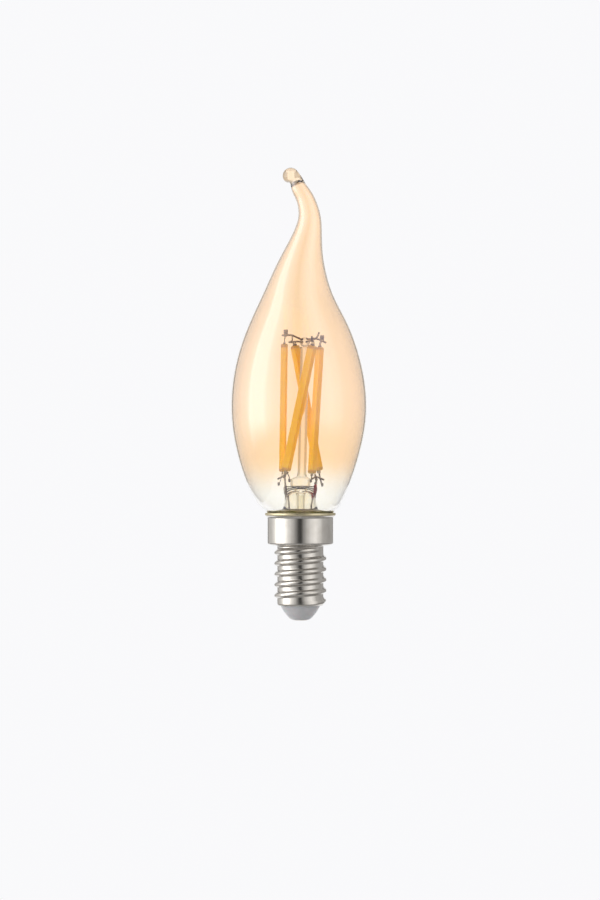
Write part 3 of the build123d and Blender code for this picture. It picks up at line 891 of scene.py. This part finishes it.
    def build_post(self) -> bpy.types.Object:
        """The block pressed on top of the stem and the slim post drawn up from it."""
        wide, deep = self.block_half
        rings = []
        for rise, share in ((0.0, 0.90), (0.05, 0.96), (0.16, 1.0), (0.6, 1.0), (1.2, 1.0)):
            centre = Vector((0.0, 0, self.block_bottom + rise))
            rings.append(level_ring(centre, wide * share, deep * share, self.around, 3.4))
        rows = (
            (-0.35, wide * 0.99, deep, 3.2),
            (-0.08, wide * 0.93, deep * 0.97, 3.0),
            (0.10, wide * 0.82, deep * 0.92, 2.8),
            (0.24, wide * 0.68, deep * 0.88, 2.5),
            (0.42, wide * 0.55, deep * 0.84, 2.2),
            (0.75, 1.26, 1.20, 2.0),
            (1.25, 1.18, 1.16, 2.0),
        )
        foot, top = Vector(self.post_foot), Vector(self.post_top)
        for rise, half_wide, half_deep, power in rows:
            height = self.block_top + rise
            shift = foot.x * smooth(self.block_top - 0.4, self.block_top + 0.7, height)
            rings.append(level_ring(Vector((shift, 0, height)), half_wide, half_deep, self.around, power))
        start = self.block_top + rows[-1][0] + 0.5
        spans = 40
        for i in range(spans + 1):
            height = start + (top.z - 0.1 - start) * i / spans
            centre = foot.lerp(top, (height - foot.z) / (top.z - foot.z))
            even = self.post_radius * (1 + 0.012 * math.sin(height * 0.9))
            rings.append(level_ring(centre, even, even, self.around))
        for rise, share in ((0.0, 0.9), (0.06, 0.6)):
            reach = self.post_radius * share
            rings.append(level_ring(top + Vector((0, 0, rise)), reach, reach, self.around))
        skin = Skin()
        skin.tube(rings)
        return settle(skin.close("stem_post", [POST], 75.0), "clear_glass", "support_post")

    def build_bead(self) -> bpy.types.Object:
        """The blob of glass on top of the post, melted round the link wires."""
        foot = Vector(self.post_top) + Vector((0, 0, 0.12))
        tall = self.bead_top - foot.z
        rings = []
        for i in range(1, 24):
            angle = math.pi * i / 24
            rise = tall * 0.5 * (1 - math.cos(angle))
            reach = self.bead_radius * math.sin(angle) ** 0.72
            centre = foot + Vector((0.05 * math.sin(angle), 0, rise))
            rings.append(level_ring(centre, reach, reach * 0.96, 40))
        skin = Skin()
        skin.tube(rings)
        return settle(skin.close("post_bead", [CLEAR], ALL_SMOOTH), "clear_glass", "anchor_bead")


# ------------------------------------------------------------------ filaments and wires


@dataclass
class Filament:
    """One LED filament: a coated ceramic bar with a welded strip at each end."""

    name: str
    bottom: Point
    top: Point
    turn: float
    plate: Point
    plate_turn: float
    tail: list[Point]
    wide: float = 2.26
    thick: float = 1.74
    squareness: float = 4.6
    sleeve_steps: int = 90
    carrier: tuple[float, float] = (1.00, 0.34)
    proud: float = 0.70
    plate_size: Point = (1.10, 0.15, 1.50)
    leg_gap: float = 0.62
    dull_end: float = 0.7
    # Faces turned towards this side by more than the turn below wear the copy of the phosphor with painted
    # shade.
    painted_shade_side: Point = (0.94, -0.34, 0.0)
    turned_away: float = 0.55

    def _axes(self) -> tuple[Vector, Vector, Vector]:
        """Directions across, through and along the bar."""
        ahead = (Vector(self.top) - Vector(self.bottom)).normalized()
        across = (Vector((1, 0, 0)) - ahead * ahead.x).normalized()
        across = Matrix.Rotation(math.radians(self.turn), 3, ahead) @ across
        return across, ahead.cross(across), ahead

    def build_sleeve(self) -> bpy.types.Object:
        """The phosphor coat, slightly uneven along its length and rounded at its ends, with painted shade on
        the faces turned to the right.
        """
        across, through, ahead = self._axes()
        low = Vector(self.bottom)
        length = (Vector(self.top) - low).length
        seed = Vector((self.turn, 3.0, 0.0))
        near = (0.02, 0.10, 0.24, 0.45)
        straight = [0.8 + (length - 1.6) * i / self.sleeve_steps for i in range(self.sleeve_steps + 1)]
        rings = []
        for stop in [*near, *straight, *(length - gap for gap in near[::-1])]:
            end = min(stop, length - stop)
            closing = math.sqrt(1 - (1 - min(end / 0.6, 1.0)) ** 2) * 0.25 + 0.75
            sway = noise.noise(seed + Vector((0, 0, stop * 0.22))) * 0.05
            swell = 1 + 0.035 * noise.noise(seed + Vector((0, 0, stop * 0.5)))
            wide = across * (self.wide / 2) * closing * swell
            thick = through * (self.thick / 2) * closing * swell
            rings.append(oval_ring(low + ahead * stop + across * sway, wide, thick, 36, self.squareness))
        skin = Skin()
        skin.tube(rings)
        bmesh.ops.recalc_face_normals(skin.mesh, faces=skin.mesh.faces)
        for face in skin.mesh.faces:
            stop = (face.calc_center_median() / MM - low).dot(ahead)
            if min(stop, length - stop) < self.dull_end:
                face.material_index = 2
            # Faces turned to the right wear the painted shade.
            elif face.normal.dot(Vector(self.painted_shade_side)) > self.turned_away:
                face.material_index = 1
        coat = skin.close(f"{self.name}_filament_coat", [PHOSPHOR, PHOSPHOR_PAINTED_SHADE, PHOSPHOR_END], 60.0)
        return settle(coat, "phosphor", f"{self.name}_phosphor")

    def build_carrier(self) -> bpy.types.Object:
        """The ceramic bar inside the coat, whose ends stand proud of it."""
        across, through, ahead = self._axes()
        low = Vector(self.bottom) - ahead * self.proud
        high = Vector(self.top) + ahead * self.proud
        turned = Matrix((across, through, ahead)).transposed().to_4x4()
        skin = Skin()
        skin.block(Matrix.Translation((low + high) / 2) @ turned, (*self.carrier, (high - low).length), 0.04)
        bar = skin.close(f"{self.name}_filament_bar", [CARRIER])
        return settle(bar, "carrier_ceramic", f"{self.name}_carrier")

    def build_tabs(self) -> bpy.types.Object:
        """Two slim legs up to a welded plate at the top, and a folded strip at the bottom."""
        across, through, ahead = self._axes()
        skin = Skin()
        turned = math.radians(self.plate_turn)
        face = Vector((math.cos(turned), math.sin(turned), 0))
        plate = Vector(self.plate)
        spin = Matrix.Translation(plate) @ Matrix.Rotation(turned, 4, "Z")
        skin.block(spin, self.plate_size, 0.045)
        root = Vector(self.top) + ahead * (self.proud - 0.45)
        for side in (-1, 1):
            offset = side * self.leg_gap / 2
            start = root + across * offset
            lifted = root + across * offset + ahead * 0.9
            end = plate + face * offset * 0.9 + Vector((0, 0, -self.plate_size[2] / 2 + 0.1))
            run = spread(soften([start, lifted, end], 0.4), 0.3)
            skin.tube(along_run(run, 0.13, 0.07, across, 8, 4.0))
        along = Matrix((across, through, ahead)).transposed().to_4x4()
        clasp = (self.carrier[0] + 0.10, self.carrier[1] + 0.16, 0.34)
        skin.block(Matrix.Translation(root - ahead * 0.05) @ along, clasp, 0.03)
        low_root = Vector(self.bottom) - ahead * (self.proud - 0.35)
        run = spread(soften([low_root, *self.tail], 0.5), 0.3)
        skin.tube(along_run(run, 0.25, 0.075, across, 12, 4.0))
        tail_end = Vector(self.tail[-1])
        skin.block(Matrix.Translation(tail_end + Vector((0, 0, 0.5))), (0.62, 0.20, 0.8), 0.05)
        return settle(skin.close(f"{self.name}_filament_tabs", [TAB]), "tab_metal", f"{self.name}_tabs")

    def build(self) -> None:
        """The coat, the bar and the tabs."""
        self.build_sleeve()
        self.build_carrier()
        self.build_tabs()


@dataclass(frozen=True)
class WireGroup:
    """Wires that make one piece, each a run of points, and the weld blobs on them."""

    name: str
    runs: tuple[tuple[Point, ...], ...]
    welds: tuple[Point, ...] = ()


@dataclass
class WireSet:
    """Wires that carry the filaments, from the seals in the stem up to the bead."""

    radius: float = 0.24
    bend: float = 0.60
    groups: tuple[WireGroup, ...] = (
        WireGroup(
            "link_wires_left",
            (((0.70, -0.20, 74.05), (-0.60, -0.90, 74.50), (-2.20, -1.60, 75.25), (-4.80, -2.15, 75.15)),
             ((0.75, 0.35, 73.50), (-0.80, 2.20, 73.70), (-3.00, 4.20, 73.60))),
            ((-3.85, -2.00, 75.20), (-2.35, 3.75, 73.65)),
        ),
        WireGroup(
            "link_wires_right",
            (((1.55, 0.25, 74.10), (3.60, 1.40, 74.50), (5.10, 2.10, 74.20), (6.80, 2.30, 73.40)),
             ((1.50, -0.40, 73.50), (3.00, -3.45, 73.80), (4.30, -3.90, 74.40), (4.90, -3.90, 75.80))),
            ((5.75, 2.05, 73.95), (3.15, -3.60, 73.90)),
        ),
        WireGroup(
            "lead_wires_left",
            (((-3.95, 0.00, 35.77), (-4.05, 0.00, 37.00), (-4.20, -0.05, 38.90)),
             ((-5.95, 2.30, 37.40), (-4.70, 0.45, 38.05), (-3.30, -2.55, 39.10))),
            ((-4.15, -0.10, 38.30), (-4.30, 0.05, 37.95)),
        ),
        WireGroup(
            "lead_wires_right",
            (((4.00, 0.00, 35.77), (4.30, 0.00, 36.80), (3.90, -0.10, 38.60)),
             ((6.20, 2.15, 37.20), (5.00, 1.10, 37.70), (4.10, -0.75, 38.05), (2.85, -3.05, 37.30))),
            ((4.05, -0.30, 37.95), (4.20, 0.00, 37.30), (4.05, 0.0, 36.3)),
        ),
        WireGroup("outer_lead_left", (((-3.20, 0.00, 32.65), (-2.90, 0.00, 29.20), (-2.90, 0.00, 24.40)),)),
        WireGroup("outer_lead_right", (((3.25, 0.00, 32.65), (2.70, 0.00, 29.20), (2.90, 0.00, 24.40)),)),
    )
    seals: tuple[tuple[str, Point, Point, float], ...] = (
        ("left", (-3.20, 0.0, 32.70), (-3.95, 0.0, 35.75), 0.30),
        ("right", (3.25, 0.0, 32.70), (4.00, 0.0, 35.75), 0.42),
    )
    weld_radius: float = 0.40

    def build(self) -> None:
        """Every wire, with a weld blob where one crosses another."""
        for group in self.groups:
            skin = Skin()
            for run in group.runs:
                path = spread(soften(run, self.bend), 0.35)
                skin.tube(along_run(path, self.radius, self.radius, Vector((0.2, 1.0, 0.3))))
            for spot in group.welds:
                skin.tube(self._blob(Vector(spot)))
            settle(skin.close(f"{group.name}_drawn", [LEAD], 60.0), "lead_wire", group.name)
        for side, foot, head, thick in self.seals:
            skin = Skin()
            path = spread([Vector(foot), Vector(head)], 0.3)
            skin.tube(along_run(path, thick, thick, Vector((0, 1, 0)), 16))
            finish = SEAL if side == "right" else LEAD
            settle(skin.close(f"seal_wire_{side}_drawn", [finish], 60.0), "seal_wire", f"seal_wire_{side}")

    def _blob(self, centre: Vector) -> list[Ring]:
        """A small uneven blob of weld.

        Args:
            centre: its middle.

        Returns:
            Its rings.
        """
        rings = []
        for i in range(1, 9):
            angle = math.pi * i / 9
            even = 1 + 0.15 * noise.noise(centre * 3 + Vector((0, 0, i * 0.7)))
            reach = self.weld_radius * math.sin(angle) * even
            level = centre + Vector((0, 0, -self.weld_radius * math.cos(angle)))
            rings.append(level_ring(level, reach, reach * 0.85, 14))
        return rings


# ------------------------------------------------------------------ cap


@dataclass
class ScrewCap:
    """The E14 cap: one rolled metal shell with its thread, the insulator, the contact and the cement."""

    around: int = 192
    wall: float = 0.30
    pitch: float = 2.822
    crest_height: float = 5.05
    major_radius: float = 6.90
    minor_radius: float = 6.12
    shell_bottom: float = 3.90
    mouth_radius: float = 5.22
    skirt_radius: float = 8.725
    skirt_bottom: float = 19.80
    lip_radius: float = 9.35
    lip_top: float = 28.35
    neck_foot: float = 5.2
    neck_top: float = 19.25
    neck_steps: int = 118
    # Height above which the shell wears the brass colour of the painted reflection.
    painted_reflection_height: float = 27.70
    first_turn: float = -0.25
    last_turn: float = 4.84
    crest_half: float = 0.16
    flank_up: float = 1.08
    flank_down: float = 0.60

    def _ridge(self, angle: float, height: float) -> float:
        """How far the thread stands out.

        Args:
            angle: angle round the axis, in radians.
            height: height on the shell.

        Returns:
            The rise above the shell's wall.
        """
        turns = (height - self.crest_height) / self.pitch - angle / (2 * math.pi)
        nearest = round(turns)
        offset = (turns - nearest) * self.pitch
        wound = angle / (2 * math.pi) + nearest
        flank = self.flank_up if offset > 0 else self.flank_down
        away = max(abs(offset) - self.crest_half, 0.0) / flank
        rise = 0.5 + 0.5 * math.cos(math.pi * min(away, 1.0))
        fade = smooth(self.first_turn - 0.02, self.first_turn + 0.30, wound)
        fade *= 1 - smooth(self.last_turn - 0.16, self.last_turn + 0.10, wound)
        return (self.major_radius - self.minor_radius) * rise * fade

    def _profile(self) -> list[tuple[float, float]]:
        """Points up the outside of the shell, as radius and height."""
        low = [(self.mouth_radius, self.shell_bottom), (self.minor_radius, self.shell_bottom)]
        low.append((self.minor_radius, self.neck_foot))
        points = [(p.x, p.y) for p in soften(low, 0.6, 8)]
        straight = self.neck_top - self.neck_foot
        steps = self.neck_steps
        points += [(self.minor_radius, self.neck_foot + straight * i / steps) for i in range(1, steps + 1)]
        corner = [
            (self.minor_radius, self.neck_top), (self.minor_radius + 0.05, 19.72),
            (7.60, self.skirt_bottom + 0.06), (self.skirt_radius - 0.02, 20.15), (self.skirt_radius, 21.4),
            (self.skirt_radius, 27.33), (self.lip_radius - 0.05, 27.72),
            (self.lip_radius, self.lip_top - 0.25), (self.lip_radius - 0.05, self.lip_top),
        ]
        run = soften(corner, 0.42, 8)
        return points + [(p.x, p.y) for p in spread(run, 0.5)[1:]]

    def build_shell(self) -> bpy.types.Object:
        """The shell as one sheet with an outside, an inside and a turned edge."""
        outside = self._profile()
        inside = []
        for r, z in outside:
            if z > self.lip_top - 0.05:
                continue
            if z >= 19.7:
                radius = max(min(r, self.lip_radius - 0.05) - self.wall, self.minor_radius - self.wall)
                radius = min(radius, self.skirt_radius - self.wall) if z < 27.4 else radius
                inside.append((radius, max(z + self.wall * 0.6, 20.08) if z < 21 else z))
            elif z > self.shell_bottom + 0.3:
                inside.append((r - self.wall, z))
        mouth = self.shell_bottom + self.wall
        foot = [(self.minor_radius - self.wall - 0.1, mouth), (self.mouth_radius, mouth)]
        skin = Skin()
        rings = []
        for r, z in outside + inside[::-1] + foot:
            ring = []
            for i in range(self.around):
                angle = 2 * math.pi * i / self.around
                rise = self._ridge(angle, z) * smooth(3.95, 4.25, z) * (1 - smooth(19.1, 19.5, z))
                reach = r + (rise if r < 7.0 and z > 4.0 else 0.0)
                ring.append(Vector((reach * math.cos(angle), reach * math.sin(angle), z)))
            rings.append(ring)
        skin.loop(rings)
        # The lip wears the brass colour of the painted reflection; the rest of the shell is nickel.
        for face in skin.mesh.faces:
            face.material_index = int(face.calc_center_median().z > self.painted_reflection_height * MM)
        return settle(skin.close("rolled_shell", [NICKEL, LIP_PAINTED_REFLECTION]), "nickel_plate", "cap_shell")

    def _turned(
        self, name: str, points: list[tuple[float, float]], radius: float, finish: Finish,
        around: int = 96, uneven: float = 0.0,
    ) -> bpy.types.Object:
        """A solid turned round the axis.

        Args:
            name: its name.
            points: its half profile, as radius and height.
            radius: how far its corners are rounded.
            finish: its finish.
            around: points round it.
            uneven: how far its upper edge wanders.

        Returns:
            The solid.
        """
        skin = Skin()
        rings = []
        for spot in spread(soften(points, radius), 0.6):
            reach = max(spot.x, 0.02)
            ring = level_ring(Vector((0, 0, spot.y)), reach, reach, around)
            if spot.y > 26.8:
                for point in ring:
                    point.z += uneven * noise.noise(point * 0.8)
            rings.append(ring)
        if points[0][0] > 0.5:
            skin.loop(rings)
        else:
            skin.tube(rings)
        return skin.close(name, [finish], 45.0)

    def build_insulator(self) -> bpy.types.Object:
        """The moulded insulator, domed down to the contact."""
        nose = [(0.02, 0.50), (2.14, 0.50), (2.18, 0.16), (2.45, 0.22), (2.95, 0.64), (3.50, 1.18),
                (4.00, 1.76), (4.62, 2.70), (5.02, 3.45), (5.17, 3.86), (5.17, 4.24), (5.74, 4.26),
                (5.74, 7.60), (0.02, 7.60)]
        piece = self._turned("moulded_insulator", nose, 0.22, INSULATOR)
        return settle(piece, "insulator_grey", "insulator")

    def build_contact(self) -> bpy.types.Object:
        """The centre contact, a pressed disc with a slight dimple."""
        disc = [(0.02, 0.06), (0.55, 0.05), (0.85, 0.0), (1.70, 0.0), (2.08, 0.14), (2.10, 0.44),
                (0.80, 0.46), (0.80, 7.98), (0.02, 8.00)]
        piece = self._turned("pressed_contact", disc, 0.12, CONTACT)
        return settle(piece, "contact_metal", "centre_contact")

    def build_cement(self) -> bpy.types.Object:
        """The cement that holds the glass in the skirt, squeezed up into an uneven bead."""
        ring = [(4.40, 25.25), (8.38, 25.25), (8.40, 27.30), (8.72, 27.80), (8.92, 28.16), (8.80, 28.44),
                (8.62, 28.46), (8.48, 28.22), (8.26, 27.4), (8.22, 27.0), (8.20, 26.18), (7.62, 26.18),
                (7.10, 27.55), (6.20, 28.10), (5.00, 28.60), (4.40, 28.60)]
        piece = self._turned("cement_bead", ring, 0.22, CEMENT, 160, 0.10)
        return settle(piece, "cement", "cement_ring")

    def build(self) -> None:
        """All four pieces of the cap."""
        self.build_shell()
        self.build_insulator()
        self.build_contact()
        self.build_cement()


# ------------------------------------------------------------------ driver inside the cap


class Hidden(Enum):
    """Finishes of the parts inside the cap and the filaments, by the nodes that wear them."""

    BOARD = (Moulded("board", (0.05, 0.22, 0.10), (0.03, 0.16, 0.07), 0.35), ("driver_board",))
    SLEEVE = (Moulded("sleeve_film", (0.78, 0.76, 0.68), (0.70, 0.68, 0.60), 0.45), ("insulating_sleeve",))
    CAPACITOR = (
        Moulded("capacitor_sleeve", (0.05, 0.06, 0.08), (0.03, 0.04, 0.05), 0.3), ("bulk_capacitor",)
    )
    FERRITE = (Moulded("ferrite", (0.09, 0.09, 0.09), (0.06, 0.06, 0.06), 0.6), ("inductor_core",))
    COPPER = (Wire("copper_wire", (0.72, 0.34, 0.16), (0.55, 0.24, 0.10), 1.0, 0.3), ("inductor_winding",))
    RESIN = (
        Moulded("black_resin", (0.03, 0.03, 0.03), (0.02, 0.02, 0.02), 0.45),
        ("driver_chip", "bridge_rectifier"),
    )
    RADIO = (Moulded("radio_board", (0.03, 0.10, 0.22), (0.02, 0.07, 0.16), 0.35), ("radio_board",))
    ANTENNA = (Moulded("antenna_ceramic", (0.80, 0.80, 0.82), (0.72, 0.72, 0.74), 0.4), ("radio_antenna",))
    SHIELD = (
        Plate("shield_metal", (0.70, 0.70, 0.70), (0.60, 0.60, 0.58), (0.25, 0.4), 3.0), ("radio_shield",)
    )
    CHIPS = (Moulded("chip_ceramic", (0.62, 0.52, 0.38), (0.50, 0.42, 0.30), 0.5), ("chip_parts",))
    RESISTOR = (Moulded("resistor_coat", (0.10, 0.30, 0.50), (0.08, 0.24, 0.42), 0.4), ("fuse_resistor",))
    LIVE = (Moulded("live_insulation", (0.55, 0.05, 0.04), (0.45, 0.04, 0.03), 0.4), ("live_wire",))
    NEUTRAL = (Moulded("neutral_insulation", (0.05, 0.12, 0.40), (0.04, 0.10, 0.32), 0.4), ("neutral_wire",))
    SOLDER = (Wire("solder", (0.62, 0.62, 0.62), (0.45, 0.45, 0.46), 1.0, 0.25), ("solder_joints",))
    LED = (
        Moulded("led_chip", (0.20, 0.26, 0.40), (0.14, 0.18, 0.30), 0.2),
        ("left_chips", "back_chips", "front_chips", "right_chips"),
    )

    def dress(self) -> None:
        """Give the nodes their finish."""
        finish, names = self.value
        for name in names:
            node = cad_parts[name]
            node.data.materials.clear()
            node.data.materials.append(finish.material())
            LOG.info("%s: dressed in %s", name, finish.name)


# ------------------------------------------------------------------ studio


@dataclass(frozen=True)
class Tent(Finish):
    """The glowing face of a light tent, brightest at its two softboxes and dark round the camera.

    Stops run round the tent as (degrees from the camera towards the right, glow).
    """

    stops: tuple[tuple[float, float], ...] = (
        (-158, 0.22), (-152, 0.24), (-146, 0.60), (-122, 0.72), (-108, 0.96), (-99, 1.25), (-90, 2.60),
        (-64, 2.60), (-53, 1.50), (-40, 0.98), (-26, 0.62), (-14, 0.28), (-6, 0.06), (3, 0.05), (12, 0.36),
        (26, 0.72), (40, 1.02), (54, 1.18), (70, 0.92), (87, 0.54), (120, 0.44), (146, 0.48), (152, 0.22),
        (158, 0.20),
    )
    peak: float = 2.8
    tops: tuple[float, float] = (1080.0, 1200.0)
    foot: tuple[float, float] = (-400.0, -50.0)
    crown: float = 0.34
    dusk: float = 0.10

    def paint(self, graph: Graph) -> None:
        """Set up the glow round the tent, which fades towards its top and its foot."""
        round_it = graph.math("ARCTAN2", graph.part("X"), graph.math("MULTIPLY", graph.part("Y"), -1.0))
        ramp = graph.add("ShaderNodeValToRGB")
        ramp.color_ramp.interpolation = "EASE"
        marks = ramp.color_ramp.elements
        while len(marks) < len(self.stops):
            marks.new(0.5)
        for mark, (degrees, glow) in zip(marks, self.stops):
            level = glow / self.peak
            mark.position = 0.5 + degrees / 360
            mark.color = (level, level * 0.985, level * 0.965, 1.0)
        graph.join(graph.math("ADD", graph.math("DIVIDE", round_it, 2 * math.pi), 0.5), ramp.inputs["Fac"])
        height = graph.part("Z")
        face = graph.blend(graph.band(height, *self.tops), ramp.outputs["Color"], (self.crown,) * 3)
        face = graph.blend(graph.band(height, *self.foot, 1.0, 0.0), face, (self.dusk,) * 3)
        graph.put(Base_Color=BLACK, Specular_IOR_Level=0.0, Emission_Color=face, Emission_Strength=self.peak)


PAPER = Backdrop("paper_face", BLACK, BLACK, 0.965, -9000.0, -8000.0)
VEIL = Tent(
    "veil_face",
    ((-180, 0.95), (-158, 0.74), (-122, 0.72), (-96, 0.66), (-60, 0.95), (0, 1.08), (60, 0.95), (92, 0.62),
     (120, 0.62), (150, 0.68), (180, 0.95)),
    peak=1.1, tops=(650.0, 1000.0), dusk=0.5,
)


class Seen(Enum):
    """Kinds of ray that meet a thing in the studio."""

    CAMERA = ("camera",)
    THROUGH_GLASS = ("transmission",)
    MIRRORED = ("diffuse", "glossy", "shadow")
    ALL_BUT_CAMERA = ("diffuse", "glossy", "transmission", "shadow")


@dataclass
class Studio:
    """A pale seamless sweep, a light tent round the lamp and a camera level with it, in metres."""

    camera_place: Point = (-0.0001, -0.790, 0.045)
    lens: float = 119.5
    floor: float = -0.42
    sweep_front: float = -2.6
    sweep_back: float = 1.3
    sweep_curve: float = 0.8
    wall_rise: float = 2.1
    tent_radius: float = 1.2
    air_radius: float = 3.2
    tent_rise: tuple[float, float] = (-22.0, 88.0)
    backlight: tuple[float, float, float] = (0.30, -0.30, 0.62)
    air: Colour = (0.30, 0.28, 0.26)

    def _place(self, name: str, rows: list[list[Point]], finish: Finish, seen: Seen) -> None:
        """Stand a sheet in the studio.

        Args:
            name: its name.
            rows: rows of points across it.
            finish: its finish.
            seen: the rays that meet it.
        """
        mesh = bmesh.new()
        grid = [[mesh.verts.new(spot) for spot in row] for row in rows]
        for low, high in zip(grid, grid[1:]):
            for i in range(len(low) - 1):
                mesh.faces.new((low[i], low[i + 1], high[i + 1], high[i]))
        data = bpy.data.meshes.new(name)
        mesh.to_mesh(data)
        mesh.free()
        data.shade_smooth()
        data.materials.append(finish.material())
        sheet = bpy.data.objects.new(name, data)
        for kind in ("camera", "diffuse", "glossy", "transmission", "shadow"):
            setattr(sheet, f"visible_{kind}", kind in seen.value)
        bpy.context.scene.collection.objects.link(sheet)

    def _sweep(self, half: float) -> list[list[Point]]:
        """A floor that curves up into a wall behind the lamp.

        Args:
            half: half its width.

        Returns:
            Its rows of points.
        """
        bend, start = self.sweep_curve, self.sweep_front
        flat = self.sweep_back - bend - start
        profile = [(start + flat * i / 12, self.floor) for i in range(13)]
        for i in range(1, 17):
            angle = math.pi / 2 * i / 16
            out, up = bend * math.sin(angle), bend * (1 - math.cos(angle))
            profile.append((self.sweep_back - bend + out, self.floor + up))
        profile += [(self.sweep_back, self.floor + bend + self.wall_rise * i / 7) for i in range(1, 8)]
        return [[(x, y, z) for x in (-half, -half / 3, half / 3, half)] for y, z in profile]

    def _tent(self, half: float, radius: float) -> list[list[Point]]:
        """A dome round the lamp.

        Args:
            half: degrees that it reaches round from the camera on each side.
            radius: its radius.

        Returns:
            Its rows of points.
        """
        turns = [math.radians(half * (i / 30 - 1)) for i in range(61)]
        low, high = self.tent_rise
        rows = []
        for i in range(17):
            rise = math.radians(low + (high - low) * i / 16)
            reach, height = radius * math.cos(rise), radius * math.sin(rise)
            rows.append([(math.sin(turn) * reach, -math.cos(turn) * reach, height) for turn in turns])
        return rows

    def build(self) -> None:
        """The sweep, the lights, the world and the camera."""
        self._place("paper", self._sweep(2.4), PAPER, Seen.CAMERA)
        self._place("pale_air", self._tent(180, self.air_radius), PAPER, Seen.CAMERA)
        self._place("sweep", self._sweep(0.55), Backdrop("sweep_face"), Seen.ALL_BUT_CAMERA)
        half, before_wall, top = self.backlight
        y = self.sweep_back + before_wall
        panel = [[(-half, y, z), (half, y, z)] for z in (self.floor + 0.12, top)]
        self._place("backlight", panel, Backdrop("backlight_face", BLACK, BLACK, 1.18), Seen.THROUGH_GLASS)
        self._place("light_tent", self._tent(158, self.tent_radius), Tent("tent_face"), Seen.MIRRORED)
        self._place("light_veil", self._tent(180, self.tent_radius), VEIL, Seen.THROUGH_GLASS)
        world = bpy.data.worlds.new("studio_air")
        world.use_nodes = True
        world.node_tree.nodes["Background"].inputs["Color"].default_value = (*self.air, 1.0)
        bpy.context.scene.world = world
        eye = bpy.data.cameras.new("lamp_camera")
        eye.lens = self.lens
        camera = bpy.data.objects.new("lamp_camera", eye)
        camera.location = self.camera_place
        camera.rotation_euler = (math.radians(90), 0, 0)
        bpy.context.scene.collection.objects.link(camera)
        bpy.context.scene.camera = camera
        bpy.context.scene.view_settings.view_transform = "Standard"


FILAMENTS = [
    Filament("left", (-4.75, 1.70, 39.40), (-4.20, -1.90, 72.90), 84, (-3.85, -1.90, 75.95), 0,
             [(-4.78, 1.80, 38.90), (-4.98, 1.90, 37.90), (-5.75, 2.00, 35.60)]),
    Filament("back", (4.85, 1.70, 39.60), (-1.45, 3.70, 72.60), 38, (-2.15, 3.75, 74.45), 80,
             [(4.98, 1.70, 39.10), (5.15, 1.75, 38.00), (5.80, 1.85, 35.40)]),
    Filament("front", (-3.80, -2.80, 39.60), (3.15, -3.70, 72.40), -38, (3.00, -3.75, 74.15), 70,
             [(-3.60, -2.75, 39.10), (-2.95, -2.70, 38.20), (-2.90, -2.60, 36.60)]),
    Filament("right", (3.05, -3.30, 38.90), (5.15, 1.80, 72.10), -62, (5.75, 1.85, 74.60), 0,
             [(3.00, -3.40, 38.40), (2.90, -3.40, 37.60), (2.75, -3.35, 36.50)]),
]


def main() -> None:
    """Build the lamp from the glass inwards and down to the cap, then the studio."""
    logging.basicConfig(level=logging.INFO, format="%(message)s")
    GlassEnvelope().build()
    stem = StemGlass()
    stem.build_stem()
    stem.build_post()
    stem.build_bead()
    for filament in FILAMENTS:
        filament.build()
    WireSet().build()
    ScrewCap().build()
    for hidden in Hidden:
        hidden.dress()
    Studio().build()


if __name__ == "__main__":
    main()
